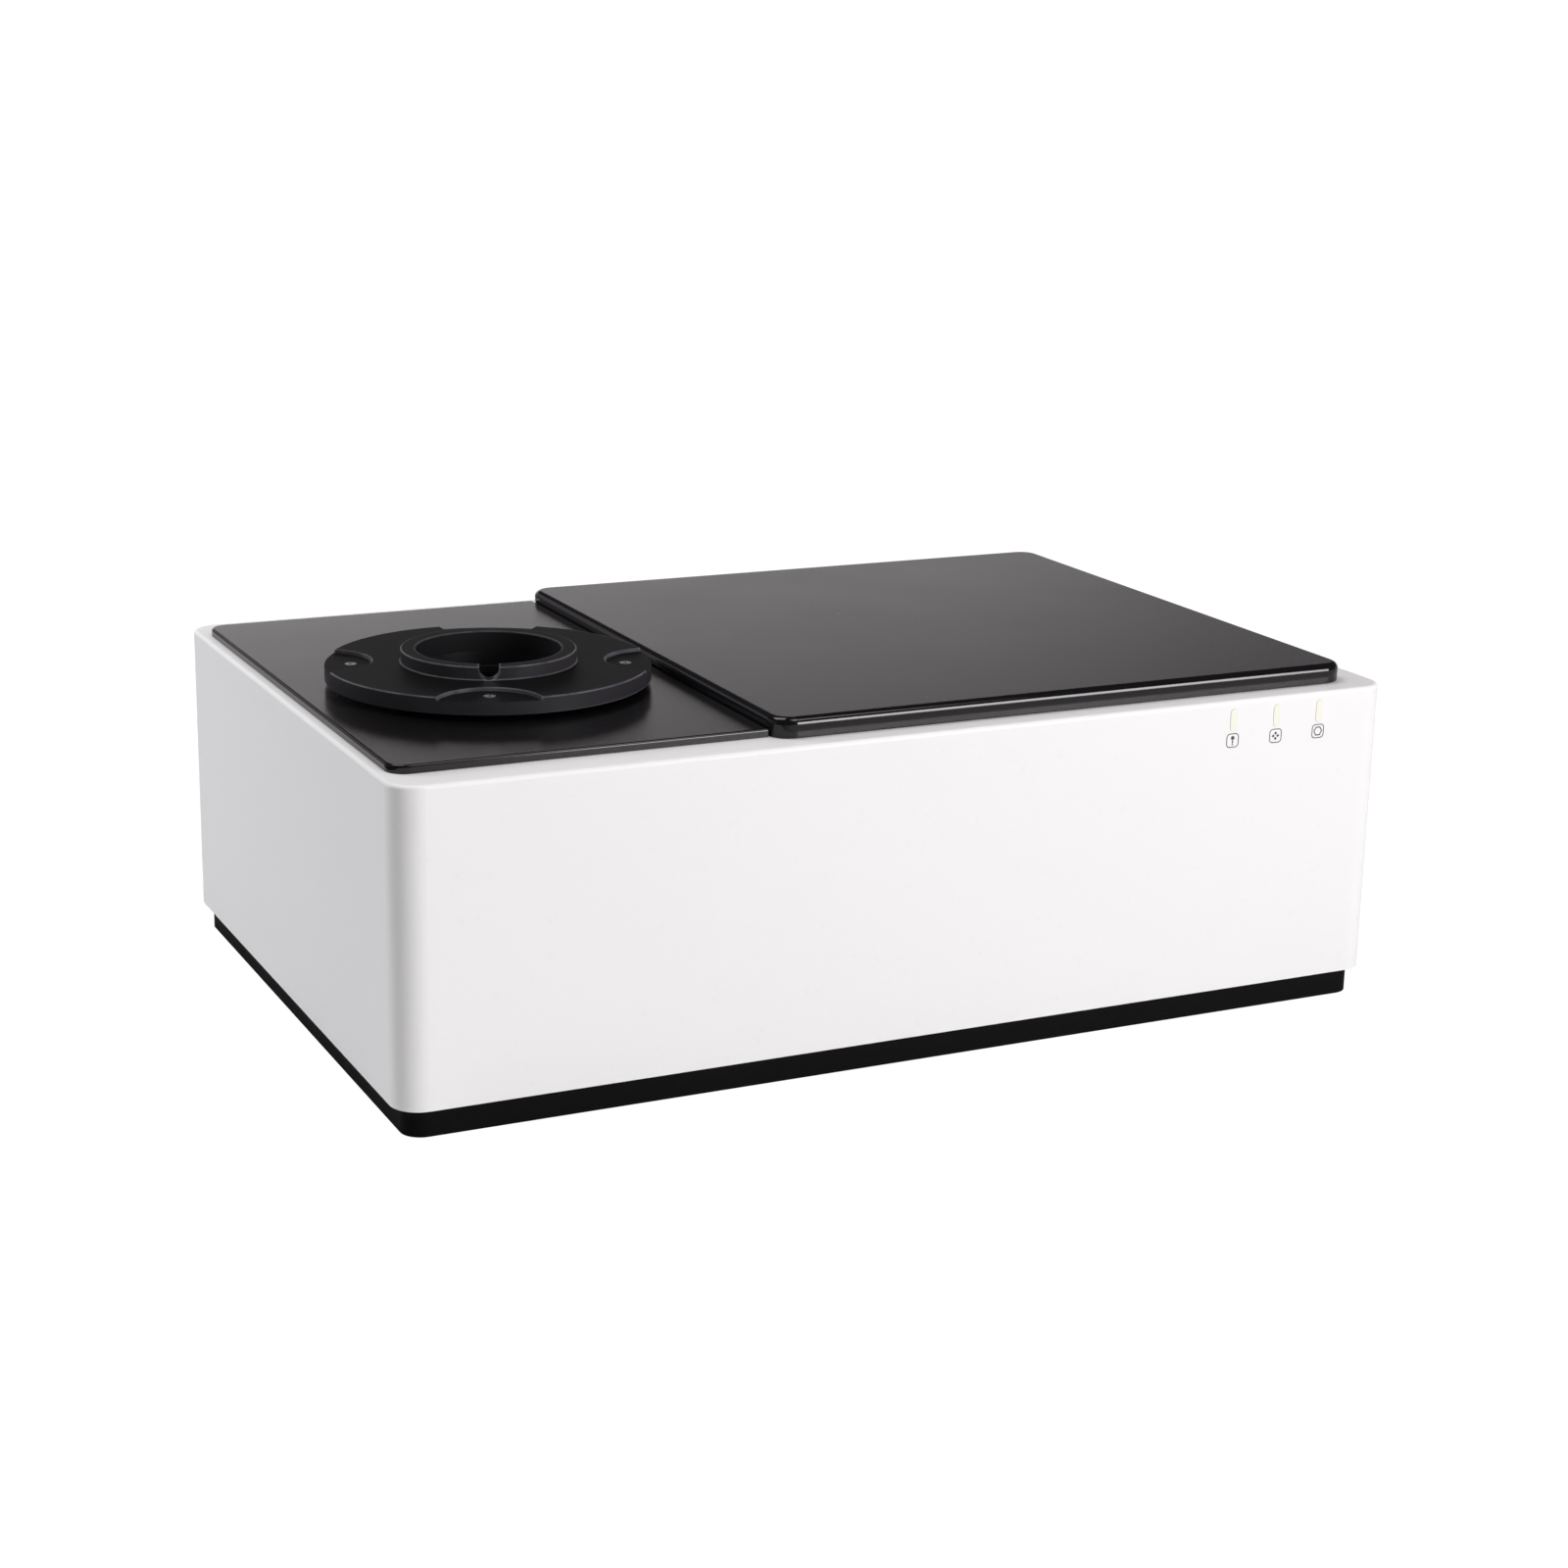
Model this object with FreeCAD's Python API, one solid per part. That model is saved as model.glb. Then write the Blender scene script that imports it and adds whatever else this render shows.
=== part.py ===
"""Bench near-infrared spectrometer with a rotating sample stage.

Millimetres, +Z up, +X to the right, +Y to the rear. The origin is on the
bench surface, under the middle of the instrument. The white shell stands on a
black plinth. A black deck on the left carries the rotating sample stage, and
a black lid on the right covers the optics and the electronics.
"""

import FreeCAD
import Part
import math
import os

V = FreeCAD.Vector
X_AXIS = V(1, 0, 0)
Y_AXIS = V(0, 1, 0)
Z_AXIS = V(0, 0, 1)

# White shell
housing_width = 520.0
housing_depth = 341.0
housing_height = 149.0
housing_wall = 3.0
housing_corner_radius = 14.0
housing_edge_round = 2.0
corner_block_size = 22.0
corner_block_height = 30.0
rim_overlap = 18.0
rim_opening_radius = 6.0

# Plinth, base plate and feet
plinth_height = 14.0
plinth_inset = 5.0
plinth_wall = 5.0
plinth_floor = 2.0
plinth_corner_radius = 10.0
base_thickness = 3.0
base_gap = 0.4
base_screw_head = 3.5
base_screw_head_height = 2.2
base_screw_shank = 1.8
base_screw_bite = 12.0
base_screw_inset = 14.0
base_screw_access = 5.0
base_hole_gap = 0.4
base_screw_end_gap = 1.0
screw_seat_gap = 0.1
screw_socket_share = 0.62
screw_socket_depth_share = 0.7
foot_radius = 11.0
foot_stand = 1.0
foot_pocket_depth = 2.0
foot_pad = 30.0
foot_fit_gap = 0.1
foot_gap = 4.0
foot_edge_round = 0.8
vent_width = 3.4
vent_length = 70.0
vent_pitch = 9.0
vent_count = 10
vent_from_rear = 30.0

# Deck and lid on the shell's top
deck_thickness = 4.0
deck_rim_left = 5.3
deck_rim_front = 20.4
deck_rim_rear = 20.3
deck_corner_radius = 9.0
deck_edge_round = 1.2
seam_from_left = 186.0
panel_gap = 0.4
lid_height = 9.7
lid_wall = 3.0
lid_rim_right = 17.0
lid_rim_front = 13.0
lid_rim_rear = 14.0
lid_corner_radius = 11.0
lid_edge_round = 3.4
lid_foot_chamfer = 0.6
gasket_width = 5.0
gasket_inset = 1.0
gasket_inner_radius = 1.5
stud_radius = 2.0
stud_inset = 14.0
stud_tail = 1.5
stud_hole_gap = 0.2
nut_height = 3.2
nut_across = 7.0

# Rotating sample stage
stage_from_left = 98.5
stage_from_front = 152.0
stage_gap = 3.0
disc_radius = 78.5
disc_thickness = 7.8
disc_web = 3.6
disc_edge_round = 0.5
collar_radius = 42.3
collar_height = 6.4
collar_foot_round = 0.7
collar_edge_round = 0.5
cup_bore_radius = 35.1
notch_width = 9.4
recess_radius = 24.8
recess_centre_radius = 80.8
recess_depth = 1.6
recess_count = 4
recess_turn = 250.2
stage_screw_radius = 66.0
stage_screw_head = 2.9
stage_screw_shank = 1.5
stage_screw_length = 6.5

# Hub and slewing bearing of the stage
hub_flange_gap = 0.5
hub_flange_thickness = 4.7
hub_flange_radius = 72.0
hub_neck_radius = 44.0
hub_bore_radius = 38.0
cup_lip_radius = 31.0
cup_bore_depth = 17.0
cup_lip_thickness = 3.0
deck_hole_gap = 2.0
bearing_drop = 1.0
bearing_height = 16.0
bearing_ring_wall = 5.9
bearing_liner_wall = 2.0
bearing_running_gap = 0.06
bearing_seat_wall = 8.0
bearing_flange_reach = 5.0
bearing_flange_height = 6.0

# Belt drive
pulley_drop = 3.0
pulley_height = 12.0
pulley_radius = 60.0
pulley_plate = 4.0
belt_radius = 1.5
belt_sink = 0.5
belt_gap = 0.3
motor_from_deck_rear = 54.7
motor_pulley_radius = 14.5
motor_body = 42.0
motor_length = 40.0
motor_corner = 4.0
motor_boss_radius = 11.0
motor_boss_height = 2.0
motor_boss_gap = 0.2
motor_shaft_radius = 2.5
motor_shaft_seat = 10.0
shaft_running_gap = 0.05
shaft_end_gap = 0.3
bracket_gap = 1.0
bracket_thickness = 4.0
bracket_width = 88.0
bracket_depth = 56.0
bracket_corner_radius = 5.0
spacer_radius = 4.0
spacer_across = 72.0
spacer_front = 10.0
spacer_rear = 20.0

# Window tower and light path
tower_gap = 0.5
tower_radius = 34.0
tower_bore_radius = 25.0
window_radius = 30.0
window_thickness = 3.0
window_gap = 0.05
block_gap = 4.0
block_size = 76.0
block_height = 54.0
block_floor = 4.0
block_bore_radius = 22.0
block_corner_radius = 3.0
exit_axis_height = 16.0
exit_port_radius = 11.0
lamp_axis_drop = 15.0
lamp_port_radius = 8.0
rod_mirror_radius = 19.5
pickoff_radius = 6.0
pickoff_bar = 3.0
pickoff_drop = 4.0
condenser_radius = 24.9
condenser_edge = 3.0
condenser_crown = 5.0

# Lamp
lamp_block_length = 34.0
lamp_block_width = 44.0
lamp_block_height = 26.0
lamp_fin_width = 2.0
lamp_fin_pitch = 5.0
lamp_fin_depth = 8.0
lamp_bore_radius = 9.0
bulb_radius = 4.5
bulb_length = 15.0
lamp_lip = 2.0
lamp_cap_length = 12.0
lamp_cap_proud = 3.0
lamp_fit_gap = 0.1

# Relay barrel and dark shutter
barrel_length = 62.0
barrel_radius = 15.0
barrel_bore = 12.0
barrel_shoulder = 6.0
relay_lens_edge = 3.0
relay_lens_crown = 3.0
shutter_space = 22.0
shutter_arm = 45.0
shutter_blade_radius = 11.0
shutter_blade_thickness = 1.5
shutter_hub_radius = 5.0
shutter_hub_length = 4.0
shutter_hub_from_barrel = 8.0
shutter_shaft_radius = 2.0
solenoid_radius = 13.0
solenoid_length = 22.0
shutter_plate_thickness = 4.0
shutter_plate_width = 34.0
shutter_plate_above = 3.0
shutter_foot_thickness = 2.5
shutter_hole_gap = 1.5
shutter_arm_width = 8.0

# Optical bench
bench_thickness = 8.0
bench_reach_left = 70.0
bench_reach_front = 104.0
bench_reach_rear = 124.0
bench_margin = 5.0
bench_corner_radius = 10.0
post_radius = 7.0
post_inset = 16.0
post_stem_radius = 2.5
post_stem_length = 5.0
post_stem_gap = 0.1
post_stem_end_gap = 0.5

# Spectrograph unit
unit_length = 160.0
unit_width = 170.0
unit_height = 56.0
unit_wall = 4.0
unit_cover = 3.0
unit_cover_edge_round = 1.0
unit_corner_radius = 4.0
unit_beam_from_front = 55.0
unit_port_radius = 6.0
mirror_width = 26.0
mirror_height = 24.0
mirror_thickness = 8.0
mirror_tilt = 8.0
far_mirror_from_rear = 42.0
grating_width = 30.0
grating_from_wall = 48.0
grating_from_rear = 78.0
grating_turn = 10.0
detector_from_rear = 40.0
detector_nose_radius = 6.0
detector_nose = 2.0
detector_size = 28.0
detector_depth = 14.0

# Electronics
supply_length = 112.0
supply_width = 130.0
supply_height = 38.0
supply_wall_gap = 8.0
supply_from_front = 100.0
supply_wall = 1.5
supply_vent_margin = 20.0
supply_vent_inset = 15.0
board_length = 190.0
board_width = 110.0
board_thickness = 1.6
board_post_height = 8.0
board_post_radius = 3.0
board_inset = 6.0
processor_size = 28.0
processor_height = 2.5
processor_from_left = 70.0
processor_from_front = 40.0
memory_length = 14.0
memory_width = 20.0
memory_height = 2.0
memory_from_left = 120.0
memory_from_front = 30.0
header_length = 32.0
header_width = 10.0
header_height = 9.0
header_from_left = 150.0
header_inset = 8.0
capacitor_radius = 5.0
capacitor_height = 12.0
capacitor_pitch = 14.0
capacitor_count = 3
capacitor_from_left = 30.0
capacitor_from_rear = 25.0

# Indicators in the front wall
indicator_from_right = 41.8
indicator_pitch = 25.3
indicator_count = 3
indicator_from_top = 4.2
indicator_height = 11.0
indicator_width = 3.7
indicator_proud = 0.2
indicator_fit_gap = 0.1
indicator_flange = 1.2
indicator_board_gap = 6.0
indicator_board_height = 20.0
indicator_board_margin = 8.0
indicator_board_top_gap = 0.5
indicator_boss_radius = 3.0
led_depth = 1.3
led_width = 2.4
led_height = 4.0

# Rear panel and what it carries
panel_from_block = 5.0
panel_width = 205.0
panel_from_bottom = 24.0
panel_height = 108.0
panel_lap = 8.0
panel_thickness = 2.0
panel_cutout_radius = 6.0
panel_screw_head = 2.9
panel_screw_shank = 1.5
panel_screw_length = 8.0
fan_size = 80.0
fan_depth = 25.0
fan_bore_radius = 38.0
fan_from_panel_right = 52.0
fan_tip_gap = 1.5
fan_hub_radius = 19.0
fan_hub_length = 17.0
fan_blade_count = 7
fan_blade_thickness = 1.8
fan_blade_chord = 15.0
fan_blade_pitch = 38.0
fan_strut_width = 4.0
fan_strut_depth = 4.0
fan_pin_radius = 2.0
fan_rotor_gap = 0.5
fan_hub_cap = 2.0
fan_pin_end_gap = 1.5
fan_cup_step = 1.0
fan_corner_radius = 6.0
guard_slot = 3.4
guard_pitch = 6.8
guard_radius = 36.0
inlet_from_panel_left = 38.0
inlet_height_share = 30.0
inlet_width = 30.0
inlet_tall = 22.0
inlet_flange = 3.0
inlet_flange_thickness = 2.4
inlet_corner_radius = 2.0
inlet_cavity_chamfer = 4.0
inlet_depth = 24.0
inlet_cavity_width = 25.0
inlet_cavity_height = 17.0
inlet_cavity_depth = 17.0
blade_width = 4.0
blade_thickness = 2.0
blade_length = 11.0
blade_spread = 7.0
blade_offset = 2.0
switch_from_panel_left = 38.0
switch_height_share = 76.0
rocker_length = 18.0
rocker_width = 12.0
rocker_clearance = 0.5
rocker_tip_gap = 0.6
rocker_rise = 4.0
rocker_hollow = 1.0
rocker_back = 2.4
rocker_tip_back = 0.8
rocker_tilt = 8.0
rocker_pivot_depth = 3.0
rocker_pin_radius = 1.2
rocker_pin_length = 1.3
rocker_end_gap = 0.3
bezel_wall = 1.6
bezel_flange = 2.5
bezel_flange_thickness = 1.5
bezel_depth = 16.0
data_from_panel_left = 82.0
usb_width = 12.2
usb_tall = 11.0
usb_depth = 16.0
usb_wall = 0.6
usb_back = 3.0
usb_corner = 2.0
usb_tongue_setback = 1.5
usb_tongue_width = 5.6
usb_tongue_height = 3.2
usb_height_share = 30.0
ethernet_width = 16.0
ethernet_tall = 13.5
ethernet_depth = 21.0
ethernet_cavity_width = 11.8
ethernet_cavity_height = 8.2
ethernet_cavity_depth = 14.0
ethernet_height_share = 64.0
latch_width = 6.0
latch_depth = 1.8
socket_proud = 1.0
socket_fit_gap = 0.1

# Levels and places worked out from the sizes above
shell_bottom = foot_stand + plinth_height
shell_top = shell_bottom + housing_height
base_top = shell_bottom + base_thickness
housing_left = -housing_width / 2
housing_right = housing_width / 2
housing_front = -housing_depth / 2
housing_rear = housing_depth / 2
inner_left = housing_left + housing_wall
inner_right = housing_right - housing_wall
inner_front = housing_front + housing_wall
inner_rear = housing_rear - housing_wall
seam_x = housing_left + seam_from_left

deck_left = housing_left + deck_rim_left
deck_right = seam_x - panel_gap
deck_front = housing_front + deck_rim_front
deck_rear = housing_rear - deck_rim_rear
deck_top = shell_top + deck_thickness

lid_left = seam_x
lid_right = housing_right - lid_rim_right
lid_front = housing_front + lid_rim_front
lid_rear = housing_rear - lid_rim_rear
lid_top = shell_top + lid_height

stage_x = housing_left + stage_from_left
stage_y = housing_front + stage_from_front
disc_bottom = deck_top + stage_gap
disc_top = disc_bottom + disc_thickness
collar_top = disc_top + collar_height
flange_top = disc_top - disc_web
flange_bottom = flange_top - hub_flange_thickness
cup_lip_top = collar_top - cup_bore_depth
cup_lip_bottom = cup_lip_top - cup_lip_thickness

bearing_top = shell_top - bearing_drop
bearing_bottom = bearing_top - bearing_height
bearing_ring_radius = hub_neck_radius + bearing_ring_wall
liner_inner = bearing_ring_radius + bearing_running_gap
liner_outer = liner_inner + bearing_liner_wall
seat_outer = liner_outer + bearing_seat_wall
seat_flange = seat_outer + bearing_flange_reach

pulley_top = bearing_bottom - pulley_drop
neck_bottom = pulley_top - pulley_height
pulley_bottom = neck_bottom - pulley_plate
belt_level = (pulley_top + neck_bottom) / 2
motor_x = stage_x
motor_y = deck_rear - motor_from_deck_rear
motor_distance = motor_y - stage_y
bracket_top = pulley_bottom - bracket_gap
bracket_bottom = bracket_top - bracket_thickness
belt_path_stage = pulley_radius - belt_sink
belt_path_motor = motor_pulley_radius - belt_sink

tower_top = cup_lip_bottom - tower_gap
block_top = pulley_bottom - block_gap
bench_top = block_top - block_height
bench_bottom = bench_top - bench_thickness
exit_axis = bench_top + exit_axis_height
lamp_axis = block_top - lamp_axis_drop
block_left = stage_x - block_size / 2
block_right = stage_x + block_size / 2
barrel_end = block_right + barrel_length
unit_left = barrel_end + shutter_space
unit_right = unit_left + unit_length
unit_front = stage_y - unit_beam_from_front
unit_rear = unit_front + unit_width
unit_top = bench_top + unit_height
bench_left = stage_x - bench_reach_left
bench_right = unit_right + bench_margin
bench_front = stage_y - bench_reach_front
bench_rear = stage_y + bench_reach_rear
shutter_y = stage_y - shutter_arm
shutter_hub_start = barrel_end + shutter_hub_from_barrel

panel_right = inner_right - corner_block_size - panel_from_block - panel_lap
panel_left = panel_right - panel_width
panel_low = shell_bottom + panel_from_bottom
panel_high = panel_low + panel_height
panel_face = inner_rear
panel_inside = panel_face - panel_thickness
fan_x = panel_right - fan_from_panel_right
fan_z = (panel_low + panel_high) / 2
inlet_x = panel_left + inlet_from_panel_left
inlet_z = panel_low + inlet_height_share
switch_x = panel_left + switch_from_panel_left
switch_z = panel_low + switch_height_share
data_x = panel_left + data_from_panel_left
usb_z = panel_low + usb_height_share
ethernet_z = panel_low + ethernet_height_share

indicator_top = shell_top - indicator_from_top
indicator_low = indicator_top - indicator_height
indicator_board_front = inner_front + indicator_board_gap


def box(x0, x1, y0, y1, z0, z1):
    """Box between two corners."""
    return Part.makeBox(x1 - x0, y1 - y0, z1 - z0, V(x0, y0, z0))


def rod(radius, z0, z1, x=0.0, y=0.0):
    """Upright cylinder."""
    return Part.makeCylinder(radius, z1 - z0, V(x, y, z0), Z_AXIS)


def rod_x(radius, x0, x1, y, z):
    """Cylinder along X."""
    return Part.makeCylinder(radius, x1 - x0, V(x0, y, z), X_AXIS)


def rod_y(radius, y0, y1, x, z):
    """Cylinder along Y."""
    return Part.makeCylinder(radius, y1 - y0, V(x, y0, z), Y_AXIS)


def ring(outer, inner, z0, z1, x, y):
    """Upright tube whose bore runs right through."""
    return rod(outer, z0, z1, x, y).cut(rod(inner, z0 - 1, z1 + 1, x, y))


def upright_edges(shape, low_x=-1e9, high_x=1e9):
    """Straight edges along Z whose X lies in the given span."""
    found = []
    for edge in shape.Edges:
        ends = edge.BoundBox
        flat = ends.XLength < 1e-6 and ends.YLength < 1e-6
        if flat and low_x <= ends.Center.x <= high_x:
            found.append(edge)
    return found


def edges_at(shape, level):
    """Edges that lie wholly at one level."""
    found = []
    for edge in shape.Edges:
        ends = edge.BoundBox
        if abs(ends.ZMin - level) < 1e-6 and abs(ends.ZMax - level) < 1e-6:
            found.append(edge)
    return found


def rounded_box(x0, x1, y0, y1, z0, z1, radius):
    """Box with its four upright edges rounded."""
    block = box(x0, x1, y0, y1, z0, z1)
    return block.makeFillet(radius, upright_edges(block))


def corner_points(x0, x1, y0, y1, inset):
    """Four points, one inside each corner of a rectangle."""
    return [(x, y) for x in (x0 + inset, x1 - inset) for y in (y0 + inset, y1 - inset)]


def polar(radius, degrees, x=0.0, y=0.0):
    """Point at an angle about a centre."""
    angle = math.radians(degrees)
    return x + radius * math.cos(angle), y + radius * math.sin(angle)


def fuse(shapes):
    """One solid out of several that touch."""
    whole = shapes[0]
    for shape in shapes[1:]:
        whole = whole.fuse(shape)
    return whole.removeSplitter()


def revolve_profile(points, x, y):
    """Solid of revolution about an upright axis from radius and level pairs."""
    wire = Part.makePolygon([V(radius, 0, level) for radius, level in points + points[:1]])
    solid = Part.Face(wire).revolve(V(0, 0, 0), Z_AXIS, 360)
    solid.translate(V(x, y, 0))
    return solid


def countersunk_screw(head, shank, length, place, direction):
    """Countersunk screw with a hexagon socket, its head's face at place."""
    head_depth = head - shank
    cone = Part.makeCone(head, shank, head_depth, V(0, 0, 0), V(0, 0, -1))
    body = cone.fuse(Part.makeCylinder(shank, length, V(0, 0, 0), V(0, 0, -1)))
    socket_across = shank * screw_socket_share
    corners = [V(*polar(socket_across, 60 * step), 0) for step in range(7)]
    socket = Part.Face(Part.makePolygon(corners)).extrude(V(0, 0, -head_depth * screw_socket_depth_share))
    screw = body.cut(socket)
    screw.Placement = FreeCAD.Placement(V(*place), FreeCAD.Rotation(Z_AXIS, V(*direction)))
    return screw


def countersink(head, shank, length, place, direction):
    """Tool that cuts the seat of a countersunk screw."""
    gap = screw_seat_gap
    cone = Part.makeCone(head + gap, shank + gap, head - shank, V(0, 0, 0), V(0, 0, -1))
    tool = cone.fuse(Part.makeCylinder(shank + gap, length, V(0, 0, 0), V(0, 0, -1)))
    tool.Placement = FreeCAD.Placement(V(*place), FreeCAD.Rotation(Z_AXIS, V(*direction)))
    return tool


def pan_screw(head, head_height, shank, length, x, y, head_level, upwards=True):
    """Pan head screw along Z, its head's seat at head_level."""
    way = 1 if upwards else -1
    cap = Part.makeCylinder(head, head_height, V(x, y, head_level), V(0, 0, -way))
    stem = Part.makeCylinder(shank, length, V(x, y, head_level), V(0, 0, way))
    return cap.fuse(stem)


# White shell


def indicator_places():
    """X of each light bar, from left to right."""
    last = housing_right - indicator_from_right
    return [last - indicator_pitch * step for step in reversed(range(indicator_count))]


def bar_outline(grow, y0, y1, x):
    """Upright bar with round ends, wider all round by grow."""
    half = indicator_width / 2
    low = rod_y(half + grow, y0, y1, x, indicator_low + half)
    high = rod_y(half + grow, y0, y1, x, indicator_top - half)
    middle = box(x - half - grow, x + half + grow, y0, y1, indicator_low + half, indicator_top - half)
    return fuse([middle, low, high])


def panel_screw_places():
    """X and Z of the screws round the rear panel."""
    reach = panel_lap / 2
    columns = (panel_left - reach, (panel_left + panel_right) / 2, panel_right + reach)
    rows = (panel_low - reach, panel_high + reach)
    return [(x, z) for x in columns for z in rows]


def stud_places():
    """X, Y and upper level of the studs under the deck and under the lid."""
    deck = corner_points(deck_left, deck_right, deck_front, deck_rear, stud_inset)
    lid = corner_points(lid_left, lid_right, lid_front, lid_rear, stud_inset)
    return [(x, y, shell_top) for x, y in deck] + [(x, y, lid_top - lid_wall) for x, y in lid]


def base_screw_places():
    """X and Y of the screws into the shell's corner blocks."""
    return corner_points(inner_left, inner_right, inner_front, inner_rear, base_screw_inset)


def indicator_boss_places():
    """X of the two bosses that carry the indicator board."""
    places = indicator_places()
    return [(places[0] + places[1]) / 2, (places[-2] + places[-1]) / 2]


def make_housing():
    outer = rounded_box(housing_left, housing_right, housing_front, housing_rear,
                        shell_bottom, shell_top, housing_corner_radius)
    outer = outer.makeFillet(housing_edge_round, edges_at(outer, shell_top))
    hollow = rounded_box(inner_left, inner_right, inner_front, inner_rear,
                         shell_bottom - 1, shell_top - housing_wall,
                         housing_corner_radius - housing_wall)
    shell = outer.cut(hollow)
    deck_opening = rounded_box(deck_left + rim_overlap, deck_right - rim_overlap,
                               deck_front + rim_overlap, deck_rear - rim_overlap,
                               shell_top - housing_wall - 1, shell_top + 1, rim_opening_radius)
    lid_opening = rounded_box(lid_left + rim_overlap, lid_right - rim_overlap,
                              lid_front + rim_overlap, lid_rear - rim_overlap,
                              shell_top - housing_wall - 1, shell_top + 1, rim_opening_radius)
    shell = shell.cut(deck_opening).cut(lid_opening)
    blocks = []
    for x, y in corner_points(inner_left, inner_right, inner_front, inner_rear, 0.0):
        x_to = x + math.copysign(corner_block_size, -x)
        y_to = y + math.copysign(corner_block_size, -y)
        blocks.append(box(min(x, x_to), max(x, x_to), min(y, y_to), max(y, y_to),
                          base_top, base_top + corner_block_height))
    outside = rounded_box(housing_left, housing_right, housing_front, housing_rear,
                          shell_bottom, shell_top, housing_corner_radius)
    blocks = [block.common(outside) for block in blocks]
    board_level = (indicator_low + indicator_top) / 2
    bosses = [rod_y(indicator_boss_radius, inner_front - 1, indicator_board_front, x, board_level)
              for x in indicator_boss_places()]
    shell = fuse([shell] + blocks + bosses)
    cuts = [bar_outline(indicator_fit_gap, housing_front - 1, inner_front + 1, x)
            for x in indicator_places()]
    rear = box(panel_left, panel_right, inner_rear - 1, housing_rear + 1, panel_low, panel_high)
    along_y = [edge for edge in rear.Edges if edge.BoundBox.YLength > 1]
    cuts.append(rear.makeFillet(panel_cutout_radius, along_y))
    for x, z in panel_screw_places():
        cuts.append(countersink(panel_screw_head, panel_screw_shank, housing_wall + 2,
                                (x, housing_rear, z), (0, 1, 0)))
    for x, y, _ in stud_places():
        cuts.append(rod(stud_radius + stud_hole_gap, shell_top - housing_wall - 1, shell_top + 1, x, y))
    for x, y in base_screw_places():
        cuts.append(rod(base_screw_shank, base_top - 1, base_top + base_screw_bite, x, y))
    return shell.cut(Part.makeCompound(cuts))


def vent_slots(low, high):
    """Tools that cut the cooling slots under the electronics."""
    middle = inner_right - supply_wall_gap - supply_length / 2
    slots = []
    for step in range(vent_count):
        y = inner_rear - vent_from_rear - step * vent_pitch
        slots.append(box(middle - vent_length / 2, middle + vent_length / 2,
                         y - vent_width / 2, y + vent_width / 2, low, high))
    return slots


def make_base_plate():
    plate = rounded_box(inner_left + base_gap, inner_right - base_gap,
                        inner_front + base_gap, inner_rear - base_gap,
                        shell_bottom, base_top, housing_corner_radius - housing_wall)
    cuts = vent_slots(foot_stand - 1, base_top + 1)
    for x, y in base_screw_places():
        cuts.append(rod(base_screw_shank + base_hole_gap, shell_bottom - 1, base_top + 1, x, y))
    return plate.cut(Part.makeCompound(cuts))


def plinth_corners(inset):
    """Rectangle of the plinth, moved in by inset."""
    reach = plinth_inset + inset
    return (housing_left + reach, housing_right - reach, housing_front + reach, housing_rear - reach)


def foot_places():
    """X and Y of the four feet, clear of the holes for the base screws."""
    beside = base_screw_inset + housing_wall - plinth_inset + base_screw_access + foot_gap + foot_radius
    along = plinth_wall + foot_pad / 2
    left, right, front, rear = plinth_corners(0.0)
    return [(x, y) for x in (left + beside, right - beside) for y in (front + along, rear - along)]


def make_plinth():
    outer = rounded_box(*plinth_corners(0.0), foot_stand, shell_bottom, plinth_corner_radius)
    inner = rounded_box(*plinth_corners(plinth_wall), foot_stand + plinth_floor, shell_bottom + 1,
                        plinth_corner_radius - plinth_wall)
    frame = outer.cut(inner)
    half = foot_pad / 2
    pads = [box(x - half, x + half, y - half, y + half, foot_stand, shell_bottom) for x, y in foot_places()]
    pads = [pad.common(outer) for pad in pads]
    frame = fuse([frame] + pads)
    pockets = [rod(foot_radius + foot_fit_gap, foot_stand - 1, foot_stand + foot_pocket_depth, x, y)
               for x, y in foot_places()]
    access = [rod(base_screw_access, foot_stand - 1, shell_bottom + 1, x, y)
              for x, y in base_screw_places()]
    return frame.cut(Part.makeCompound(pockets + access + vent_slots(foot_stand - 1, shell_bottom - 1)))


def make_foot(x, y):
    foot = rod(foot_radius, 0.0, foot_stand + foot_pocket_depth, x, y)
    return foot.makeFillet(foot_edge_round, edges_at(foot, 0.0))


# Deck and lid


def make_deck_plate():
    plate = box(deck_left, deck_right, deck_front, deck_rear, shell_top, deck_top)
    plate = plate.makeFillet(deck_corner_radius, upright_edges(plate, high_x=deck_left + 1))
    plate = plate.makeFillet(deck_edge_round, edges_at(plate, deck_top))
    hole = rod(hub_neck_radius + deck_hole_gap, shell_top - 1, deck_top + 1, stage_x, stage_y)
    return plate.cut(hole)


def make_cover_studs():
    """Studs of the deck and the lid, each with its nut under the rim."""
    studs = []
    nut_top = shell_top - housing_wall
    nut_corner = nut_across / 2 / math.cos(math.pi / 6)
    for x, y, top in stud_places():
        stud = rod(stud_radius, nut_top - nut_height - stud_tail, top, x, y)
        corners = [V(*polar(nut_corner, 60 * step, x, y), nut_top) for step in range(7)]
        nut = Part.Face(Part.makePolygon(corners)).extrude(V(0, 0, -nut_height))
        studs.append(stud.fuse(nut))
    return Part.makeCompound(studs)


def make_lid():
    outer = rounded_box(lid_left, lid_right, lid_front, lid_rear, shell_top, lid_top, lid_corner_radius)
    outer = outer.makeFillet(lid_edge_round, edges_at(outer, lid_top))
    outer = outer.makeChamfer(lid_foot_chamfer, edges_at(outer, shell_top))
    hollow = rounded_box(lid_left + lid_wall, lid_right - lid_wall, lid_front + lid_wall, lid_rear - lid_wall,
                         shell_top - 1, lid_top - lid_wall, lid_corner_radius - lid_wall)
    return outer.cut(hollow)


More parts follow.
